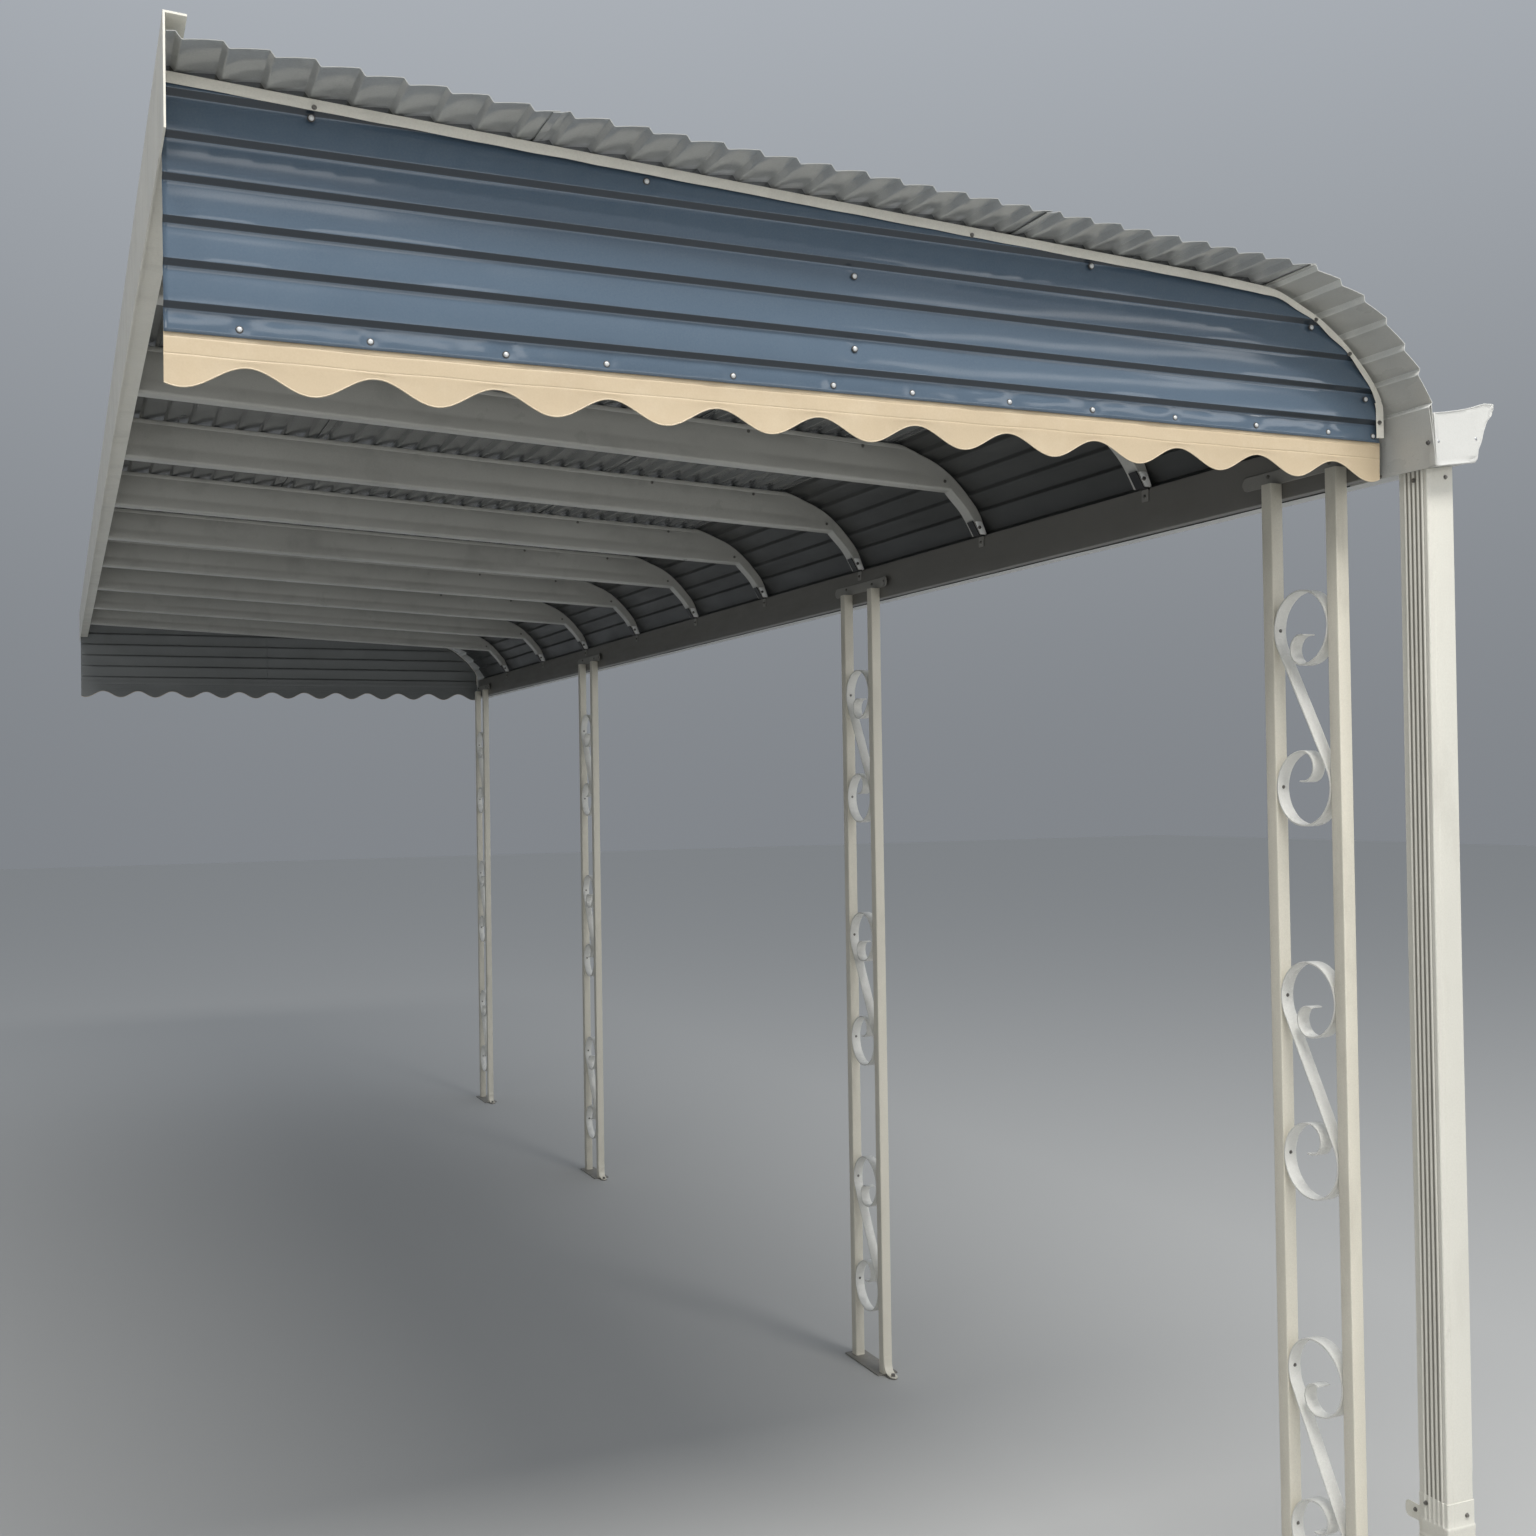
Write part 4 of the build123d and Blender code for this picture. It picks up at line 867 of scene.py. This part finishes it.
def spout_ring(g, bead=2.2, r=4.0):
    """Section of the downspout grown by g all round: rounded beads on the two sides, a soft fold on the front."""
    x0, x1, y0, y1 = DX0 + bead / 2 - g, DX1 - bead / 2 + g, DY0 - g, DY1 + g

    def beaded(x, outward, ys, s):
        pts, rad = [], []
        for y in ys:
            pts.extend([(x, y - s * 2.6), (x + outward * bead, y - s * 1.1), (x + outward * bead, y + s * 1.1), (x, y + s * 2.6)])
            rad.extend([0.7, 1.2, 1.2, 0.7])
        return pts, rad
    p1, r1 = beaded(x1, 1, BEADS, 1)
    p2, r2 = beaded(x0, -1, BEADS[::-1], -1)
    pts = [(x0, y0 + 0.9), (x0 + 11.0, y0 + 0.9), (x0 + 14.0, y0), (x1, y0)] + p1 + [(x1, y1), (x0, y1)] + p2
    rad = [r, 2.0, 2.0, r] + r1 + [r, r] + r2
    return rounded(pts, rad, 3, closed=True)


def inside(ring, t):
    """The ring moved t inwards."""
    q = side(ring, -t, closed=True)
    return q if np.ptp(q[:, 0]) < np.ptp(ring[:, 0]) else side(ring, t, closed=True)


m = Mesh()
ring = spout_ring(0.0)
inner = inside(ring, 0.9)
zs = np.concatenate([np.linspace(2003.0, 420.0, 40), [400.0, 380.0, 352.0]])
f = ripple(101, 6, 180, 700)
cx, cy = (DX0 + DX1) / 2, (DY0 + DY1) / 2
A, B = [], []
for z in zs:
    dx, dy = 0.7 * f(z, 0.0), 0.5 * f(z, 900.0)
    s = 1.0 if z > 401 else 0.985
    top = (ring[:, 0] - 1874.4) * 0.1332 - 3.4 if z == zs[0] else 0.0
    top_i = (inner[:, 0] - 1874.4) * 0.1332 - 3.4 if z == zs[0] else 0.0
    A.append(place(cx + (ring[:, 0] - cx) * s + dx, cy + (ring[:, 1] - cy) * s + dy, z + top))
    B.append(place(cx + (inner[:, 0] - cx) * s + dx, cy + (inner[:, 1] - cy) * s + dy, z + top_i))
m.slab(np.array(A), np.array(B), ring=True)
# the recessed faces between the side beads take the darker groove copy: painted shade
half = (ring + np.roll(ring, -1, axis=0)) / 2
low = (np.abs(np.abs(half[:, 0] - cx) - (DX1 - DX0) / 2 + 1.1) < 0.5) & (half[:, 1] > BEADS[0] - 4.4) & (half[:, 1] < BEADS[-1] + 4.4)
for i in range((len(zs) - 1) * len(ring)):
    m.m[i] = int(low[i % len(ring)])
m.build("fluted_downspout", [M_SPOUT, M_GROOVE_SHADE], "trim_cream", ["downspout"], sharp=30)

# elbow: grooved collar, then a plain rim a little wider, crimped bend, mouth
m = Mesh()
mid = np.array([cx, cy])
fluted = spout_ring(0.0, 2.0) - mid
plain = fluted.copy()
on_side = np.abs(plain[:, 1]) < (DY1 - DY0) / 2 - 4.6
plain[on_side, 0] = np.sign(plain[on_side, 0]) * (DX1 - DX0) / 2
path = [(cx, z, -1.0, 0.0, w, g) for z, w, g in
        ((366.0, 1, 0.2), (365.4, 1, 0.6), (362.0, 1, 0.6), (340.0, 1, 0.5), (329.5, 1, 0.5), (328.0, 0.6, 1.0), (327.0, 0.15, 1.5),
         (325.0, 0, 1.7), (322.0, 0, 1.7), (318.0, 0, 1.4), (306.0, 0, 1.3))]
for a in np.linspace(0, 72, 61)[1:]:
    t = math.radians(a)
    path.append((cx - 60.0 + 60.0 * math.cos(t), 306.0 - 60.0 * math.sin(t), -math.cos(t), -math.sin(t), 0, 1.3))
ex, ez, tz, tx = path[-1][:4]
for d in (4, 12, 24, 40, 56, 70, 82, 89, 91.5, 94, 95):
    path.append((ex + tx * d, ez + tz * d, tz, tx, 0, 1.3 + (0.5 if d > 91 else 0.0)))
A, B = [], []
for i, (px, pz, tz, tx, w, g) in enumerate(path):
    nx, nz = -tz, tx                      # outward of the bend, +x at the start
    squeeze = 0.0
    if 10 <= i <= 70:
        ph = (i - 10) / 60.0 * 6.0
        squeeze = 3.4 * (1 - (ph - math.floor(ph))) * (0.3 + 0.7 * math.sin(math.pi * min(1.0, (i - 10) / 60.0)))
    shape = plain + w * (fluted - plain)
    for S, out in ((shape, A), (inside(shape, 0.9), B)):
        grown = S + np.sign(S) * g * np.clip(np.abs(S) / [20.0, 22.0], 0, 1)
        a = grown[:, 0] + np.clip(-grown[:, 0] / 27.0, 0, 1) * squeeze
        out.append(place(px + nx * a, cy + grown[:, 1], pz + nz * a))
m.slab(np.array(A), np.array(B), ring=True)
m.build("crimped_elbow", [M_SPOUT], "trim_cream", ["downspout_elbow"], sharp=30)

# ear of the pipe strap that holds the downspout low down
m = Mesh()
ear = rounded([(88.0, 318.0), (119.5, 317.0), (121.0, 343.5), (88.0, 342.5)], [0, 9.0, 10.0, 0], 5, closed=True)
m.loft(np.array([place(x + 0 * ear[:, 0], ear[:, 0], ear[:, 1]) for x in (1884.0, 1882.7)]))
strap = rounded([(1883.4, 89.5), (1883.4, 93.2), (1936.0, 93.2), (1936.0, 89.5)], [0, 1.0, 1.0, 0], 3)
back = side(strap, 1.0)
if back[:, 1].max() < strap[:, 1].max():
    back = side(strap, -1.0)
zz2 = np.array([319.0, 330.0, 341.5])
m.slab(place(strap[None, :, 0], strap[None, :, 1], zz2[:, None]), place(back[None, :, 0], back[None, :, 1], zz2[:, None]))
m.build("spout_strap", [M_SPOUT], "trim_cream", sharp=30)

# ------------------------------------------------------------------ columns
def tube_ring(x0, y0, g=0.0, r=2.4):
    return rounded([(x0 - g, y0 - g), (x0 + TUBE + g, y0 - g), (x0 + TUBE + g, y0 + TUBE + g), (x0 - g, y0 + TUBE + g)], r, 4, closed=True)


def arc(c, r, a0, a1, n=14):
    t = np.radians(np.linspace(a0, a1, n))
    return np.stack([c[0] + r * np.cos(t), c[1] + r * np.sin(t)], 1)


def scroll_half(s, cy_, zc):
    """Upper half of one S scroll for s = 1, turned half round for s = -1."""
    R = (COL_PITCH - TUBE) / 2 - 1.6
    h = SCROLL_H / 2 - 1.6
    dz = h - R
    phi = math.asin(R / dz)
    pts = [np.array([[0.0, 0.0], [R * math.cos(phi), dz - R * math.sin(phi)]])]
    pts.append(arc((0, dz), R, -math.degrees(phi), 180, 44)[1:])
    R2 = R - 2.0
    c2 = -R + R2
    pts.append(arc((c2, dz), R2, 180, 270, 18)[1:])
    R3 = 27.0
    pts.append(arc((c2, dz - R2 + R3), R3, -90, 0, 12)[1:])
    R4 = 24.0
    c4 = c2 + R3 - R4
    pts.append(arc((c4, dz - R2 + R3), R4, 0, 90, 12)[1:])
    end = pts[-1][-1]
    pts.append(np.array([end + np.array([-4.5, -0.1]), end + np.array([-9.0, -0.5])]))
    P = np.vstack(pts)
    return np.stack([cy_ + s * P[:, 0], zc + s * P[:, 1]], 1)


BAR = rounded([(0.3, -1.6), (25.1, -1.6), (25.1, 1.6), (0.3, 1.6)], 0.9, 2, closed=True)


def sweep_bar(mesh, line):
    t = unit(np.gradient(line, axis=0))
    n = np.stack([-t[:, 1], t[:, 0]], 1)
    run = np.concatenate([[0], np.cumsum(np.linalg.norm(np.diff(line, axis=0), axis=1))])
    end = np.minimum(run, run[-1] - run)
    thin = 0.55 + 0.45 * np.clip(end / 7.0, 0, 1)      # the tips are drawn a little thinner
    rings = []
    for p, q, k in zip(line, n, thin):
        rings.append(place(TX0 + BAR[:, 0], p[0] + q[0] * BAR[:, 1] * k, p[1] + q[1] * BAR[:, 1] * k))
    mesh.loft(np.array(rings))


def weld(mesh, x, y, z, rx, ry, rz, seed):
    """Low, lumpy bead."""
    r = np.random.default_rng(seed)
    prof = []
    for a in np.linspace(-1.45, 1.45, 7):
        k = 1 + 0.16 * r.standard_normal(10)
        b = np.arange(10) * 2 * math.pi / 10
        prof.append(place(x + rx * math.sin(a) * np.ones(10), y + ry * math.cos(a) * np.cos(b) * k, z + rz * math.cos(a) * np.sin(b) * k))
    mesh.loft(np.array(prof))


for c, y0 in enumerate(COLUMN_Y):
    k = c + 1
    near, far = y0, y0 + COL_PITCH
    m = Mesh()
    for j, a in enumerate((near, far)):
        f = ripple(200 + 10 * k + j, 4, 500, 1900)
        zs = np.concatenate([[3.2, 5.0], np.linspace(40, 1990, 30), [2026.3, 2027.0]])
        A, B = [], []
        ro, ri = tube_ring(TX0, a, 0.0, 2.4), tube_ring(TX0, a, -1.6, 1.2)
        for q, z in enumerate(zs):
            w = 0.5 * f(z, 0.0) * math.sin(math.pi * np.clip(z / 2027.0, 0, 1))
            shrink = 0.3 if q == len(zs) - 1 else 0.0
            o = ro if not shrink else tube_ring(TX0, a, -0.35, 2.2)
            A.append(place(o[:, 0], o[:, 1] + w, z))
            B.append(place(ri[:, 0], ri[:, 1] + w, z))
        m.slab(np.array(A), np.array(B), ring=True)
        # bead round the foot
        for side_y, n in ((a + 0.2, 1), (a + TUBE - 0.2, 2)):
            weld(m, TX0 + TUBE / 2, side_y, 4.0, 12.5, 2.6, 2.2, 900 + k * 10 + n + j * 3)
        weld(m, TX0 + 0.0, a + TUBE / 2, 4.0, 1.8, 12.0, 2.2, 950 + k * 10 + j)
    m.build("column_%d_square_tubes" % k, [M_POST], "post_cream", ["column_%d_tubes" % k], sharp=30)

    m, ws = Mesh(), Mesh()
    cyl = far - (COL_PITCH - TUBE) / 2
    for zi, zc in enumerate(SCROLL_Z[c]):
        up_, dn = scroll_half(1, cyl, zc), scroll_half(-1, cyl, zc)
        line = np.vstack([dn[::-1], up_[1:]])
        line = split(line, 12.0)
        sweep_bar(m, line)
        R = (COL_PITCH - TUBE) / 2 - 1.6
        dz = SCROLL_H / 2 - 1.6 - R
        for s in (1, -1):
            weld(m, TX0 + TUBE / 2, far - 0.6, zc + s * dz, 11.0, 2.0, 6.0, 300 + k * 20 + zi * 3 + s)
            weld(m, TX0 + TUBE / 2, near + TUBE + 0.6, zc + s * dz, 11.0, 2.0, 6.0, 500 + k * 20 + zi * 3 + s)
            hex_screw(ws, (TX0 + TUBE / 2, far - 3.2, zc + s * dz + 2.0), (0, -1, 0), r=4.6, af=5.8, h=3.0, turn=k + zi, scale=0.72)
    m.build("column_%d_scrollwork" % k, [M_SCROLL], "post_cream", ["column_%d_scrolls" % k], sharp=30)

    # foot strip with a curved tab at the near end
    m = Mesh()
    foot = [(TX0 - 16, near), (TX0 - 0.0, near), (TX0 - 0.0, near - 30.0), (TX0 + TUBE / 2, near - 45.0), (TX0 + TUBE, near - 30.0), (TX0 + TUBE, near),
            (TX0 + TUBE + 16, near), (TX0 + TUBE + 16, far + TUBE + 12), (TX0 - 16, far + TUBE + 12)]
    fl = rounded(foot, [4, 5, 9, 14, 9, 5, 4, 5, 5], 4, closed=True)
    cc = np.array([TX0 + TUBE / 2, (near + far) / 2])
    rings = [place(fl[:, 0], fl[:, 1], 0.2 + 0 * fl[:, 0]), place(fl[:, 0], fl[:, 1], 2.4 + 0 * fl[:, 0])]
    q = side(fl, 0.7, closed=True)
    if np.ptp(q[:, 1]) > np.ptp(fl[:, 1]):
        q = side(fl, -0.7, closed=True)
    rings.append(place(q[:, 0], q[:, 1], 3.2 + 0 * q[:, 0]))
    m.loft(np.array(rings))
    # tab that runs down the near tube's front face and turns out over the plate
    tab = np.array([(near + 0.6, 50.0), (near - 0.9, 44.0), (near - 1.2, 31.0), (near - 2.8, 20.0), (near - 8.5, 11.0), (near - 18.5, 6.6), (near - 31.5, 5.1), (near - 43.0, 4.6)])
    tab = hermite(tab, (-0.2, -1.0), (-1.0, -0.02), 26)
    tl = np.linspace(0, 1, len(tab))
    half = (11.6 - 1.2 * tl) * np.sqrt(np.clip(1 - np.clip((tl - 0.80) / 0.21, 0, 1) ** 2, 0.05, 1)) * np.clip(0.55 + tl * 6, 0, 1)
    u = np.linspace(-1, 1, 9)
    dish = 0.8 * (u**2)[None, :] * np.clip(tl * 3 - 0.6, 0, 1)[:, None]
    tn = unit(np.gradient(tab, axis=0))
    up = np.stack([tn[:, 1], -tn[:, 0]], 1)
    up = up * np.sign(up[-1, 1] if abs(up[-1, 1]) > 0.1 else 1)
    tx = TX0 + TUBE / 2 + half[:, None] * u[None, :]
    TA = place(tx, tab[:, None, 0] + up[:, None, 0] * dish, tab[:, None, 1] + up[:, None, 1] * dish)
    TB = place(tx, tab[:, None, 0] + up[:, None, 0] * (dish - 1.6), tab[:, None, 1] + up[:, None, 1] * (dish - 1.6))
    m.slab(TA, TB, 1)
    m.build("column_%d_foot_plate" % k, [M_FOOT, M_POST], "post_cream", ["column_%d_base" % k], sharp=35)
    hex_screw(ws, (TX0 + TUBE / 2, near - 28.0, 5.4), (0, 0, 1), r=6.6, af=9.4, h=7.0, turn=k, scale=0.9)

    # strap across both tubes with rounded ears, the ends bent a little away from the header
    s0, s1 = near - 57.0, min(far + TUBE + 74.0, ROOF_LEN - 120.0 - 16.0)
    m = Mesh()
    t = np.linspace(0, 1, 60)
    yv = s0 + (s1 - s0) * t
    half = 12.6 * np.sqrt(np.clip(1 - np.clip((11.0 - np.minimum(yv - s0, s1 - yv)) / 11.0, 0, 1) ** 2, 0.04, 1))
    ear = 9.0 if k > 1 else 1.0
    bend = ear * np.exp(-((yv - s0) / 24.0) ** 2) + 1.0 * np.exp(-((s1 - yv) / 22.0) ** 2)
    rings = []
    for yy1, hw, bd in zip(yv, half, bend):
        xo = HEADER_X - 0.2 - bd
        rr = np.array([(xo, 2040.0 - hw), (xo - 2.4, 2040.0 - hw), (xo - 3.0, 2040.0 - hw + 0.7), (xo - 3.0, 2040.0 + hw - 0.7), (xo - 2.4, 2040.0 + hw), (xo, 2040.0 + hw)])
        rings.append(place(rr[:, 0], yy1, rr[:, 1]))
    m.loft(np.array(rings))
    # strap drawn in the darker strap grey rather than the posts' cream: painted shade
    m.build("column_%d_top_strap" % k, [M_STRAP_SHADED], "post_cream", ["column_%d_strap" % k], sharp=35)
    for yq, zq in ((s0 + 16.0, 2040.0), (near + TUBE + 12.0, 2041.0), (far + TUBE + 6.5, 2044.0)):
        bx = ear * math.exp(-((yq - s0) / 24.0) ** 2)
        hex_screw(ws, (HEADER_X - 3.4 - bx, yq, zq), (-1, 0, 0), r=4.8, af=6.2, h=3.8, turn=k + yq)
    ws.build("column_%d_screws" % k, [M_SCREW], "bare_metal", sharp=35)

# remaining screws: roof edge, gutter ends, downspout, rail
m = Mesh()
hex_screw(m, (1862.0, 6.0, 2035.0), (-1, 0, 0), r=4.8, af=6.2, h=3.6)
hex_screw(sg, (1881.2, 57.0, 1986.0), (-1, 0, 0), r=4.8, af=6.2, h=3.8)
hex_screw(sg, (1921.0, 30.2, 1989.0), (0, -1, 0), r=4.8, af=6.2, h=3.8)
hex_screw(sg, (1880.6, 75.0, 353.0), (-1, 0, 0), r=4.8, af=6.2, h=3.8)
hex_screw(sg, (1920.0, 29.4, 344.0), (0, -1, 0), r=4.8, af=6.2, h=3.8)
hex_screw(sg, (1882.7, 99.0, 333.0), (-1, 0, 0), r=4.8, af=6.2, h=3.8)
for j in range(10):
    yv = ROOF_LEN / 2 + (-2743.2 + 609.6 * j)
    hex_screw(sg, (2.5, yv, RAIL_Z), (1, 0, 0), r=7.5, af=9.5, h=5.5, turn=j)
for y in RAFTER_Y:
    for j in (3, 8, 13, 18, 23, 28):
        x, z = flat_at(j, 0.5)
        hex_screw(sg, (x, y + 17.0, z + 1.0), (0.04, 0, 1), r=5.0, af=6.4, h=4.0, turn=j)
sg.build("roof_and_gutter_screws", [M_SCREW], "bare_metal", sharp=35)
m.build("edge_screw", [M_DARK], "bare_metal", sharp=35)

# CAD nodes that stay: the wall rail
for name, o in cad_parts.items():
    if not o.hide_render:
        o.data.materials.clear()
        o.data.materials.append(M_TRIM)

# -------------------------------------------------------------------- stage
bpy.ops.mesh.primitive_plane_add(size=60, location=(0.9, 6.0, -2.3202))
floor = bpy.context.object
floor.name = "studio_floor"
fm = bpy.data.materials.new("studio_floor")
fm.use_nodes = True
fb = fm.node_tree.nodes["Principled BSDF"]
fb.inputs["Base Color"].default_value = (0.46, 0.46, 0.45, 1)
fb.inputs["Roughness"].default_value = 0.9
floor.data.materials.append(fm)

world = bpy.data.worlds.new("studio")
bpy.context.scene.world = world
world.use_nodes = True
wn, wl = world.node_tree.nodes, world.node_tree.links
bg = wn["Background"]
bg.inputs["Color"].default_value = (0.86, 0.92, 1.0, 1)
# a soft dome: dim at the horizon and on the rail's side, brighter overhead
wc, ws_, wr = wn.new("ShaderNodeTexCoord"), wn.new("ShaderNodeSeparateXYZ"), wn.new("ShaderNodeMapRange")
wr.interpolation_type = "SMOOTHSTEP"
wr.inputs["From Min"].default_value = -0.05
wr.inputs["From Max"].default_value = 0.90
wr.inputs["To Min"].default_value = 0.26
wr.inputs["To Max"].default_value = 0.66
wl.new(wc.outputs["Generated"], ws_.inputs["Vector"])
wl.new(ws_.outputs["Z"], wr.inputs["Value"])
wx, wm = wn.new("ShaderNodeMapRange"), wn.new("ShaderNodeMath")
wx.interpolation_type = "SMOOTHSTEP"
wx.inputs["From Min"].default_value = -0.95
wx.inputs["From Max"].default_value = 0.10
wx.inputs["To Min"].default_value = 0.42
wx.inputs["To Max"].default_value = 1.0
wm.operation = "MULTIPLY"
wl.new(ws_.outputs["X"], wx.inputs["Value"])
wl.new(wr.outputs["Result"], wm.inputs[0])
wl.new(wx.outputs["Result"], wm.inputs[1])
wl.new(wm.outputs["Value"], bg.inputs["Strength"])
bpy.context.scene.view_settings.view_transform = "Standard"


def area(name, loc, target, size, power, color=(1, 1, 1), size_y=None):
    d = bpy.data.lights.new(name, "AREA")
    d.energy = power
    d.color = color
    d.size = size
    if size_y:
        d.shape = "RECTANGLE"
        d.size_y = size_y
    o = bpy.data.objects.new(name, d)
    bpy.context.scene.collection.objects.link(o)
    o.location = loc
    o.rotation_euler = (Vector(target) - Vector(loc)).to_track_quat("-Z", "Y").to_euler()
    return o


area("low_softbox", (0.5, -14.0, -0.2), (0.9, -3.2, -0.6), 14.0, 130, (1.0, 0.985, 0.96), 2.2)
area("front_strip", (5.5, -14.0, 2.2), (0.9, -3.2, -0.1), 17.0, 200, (1.0, 0.985, 0.96), 0.8)
area("front_card_left", (0.2, -14.0, 5.5), (0.9, -3.2, -0.1), 6.5, 48, (1.0, 0.985, 0.96), 1.5)
area("front_card_right", (10.8, -14.0, 5.4), (0.9, -3.2, -0.1), 5.0, 30, (1.0, 0.985, 0.96), 1.2)
area("left_softbox", (-7.0, -9.0, 2.6), (1.8, -3.2, -0.3), 4.0, 90, (1.0, 0.985, 0.96), 2.5)
area("front_ground", (0.9, -6.9, 5.9), (0.9, -6.3, -2.3), 6.5, 750, (1.0, 0.985, 0.96), 2.2)
area("strip_left", (1.2, -9.6, 6.65), (0.9, -3.1, 0.0), 1.4, 6, (1.0, 0.985, 0.96), 0.9)
area("strip_right", (7.4, -10.6, 5.75), (0.9, -3.1, 0.0), 3.6, 8, (1.0, 0.985, 0.96), 0.45)

# ------------------------------------------------------------------- camera
psi, th, rho = 0.4107319, 0.0143188, -0.0151266
fwd = Vector((math.sin(psi) * math.cos(th), math.cos(psi) * math.cos(th), math.sin(th)))
R0 = Vector((math.cos(psi), -math.sin(psi), 0))
U0 = Vector((-math.sin(psi) * math.sin(th), -math.cos(psi) * math.sin(th), math.cos(th)))
right = math.cos(rho) * R0 + math.sin(rho) * U0
upv = -math.sin(rho) * R0 + math.cos(rho) * U0
cam = bpy.data.cameras.new("camera")
cam.lens = 38.48
cam.sensor_width = 36.0
cam.sensor_height = 36.0
cam.sensor_fit = "HORIZONTAL"
cam.clip_end = 200
co = bpy.data.objects.new("camera", cam)
bpy.context.scene.collection.objects.link(co)
rot = Matrix((right, upv, -fwd)).transposed()
co.matrix_world = Matrix.Translation((-0.1187, -5.120, -0.816)) @ rot.to_4x4()
bpy.context.scene.camera = co
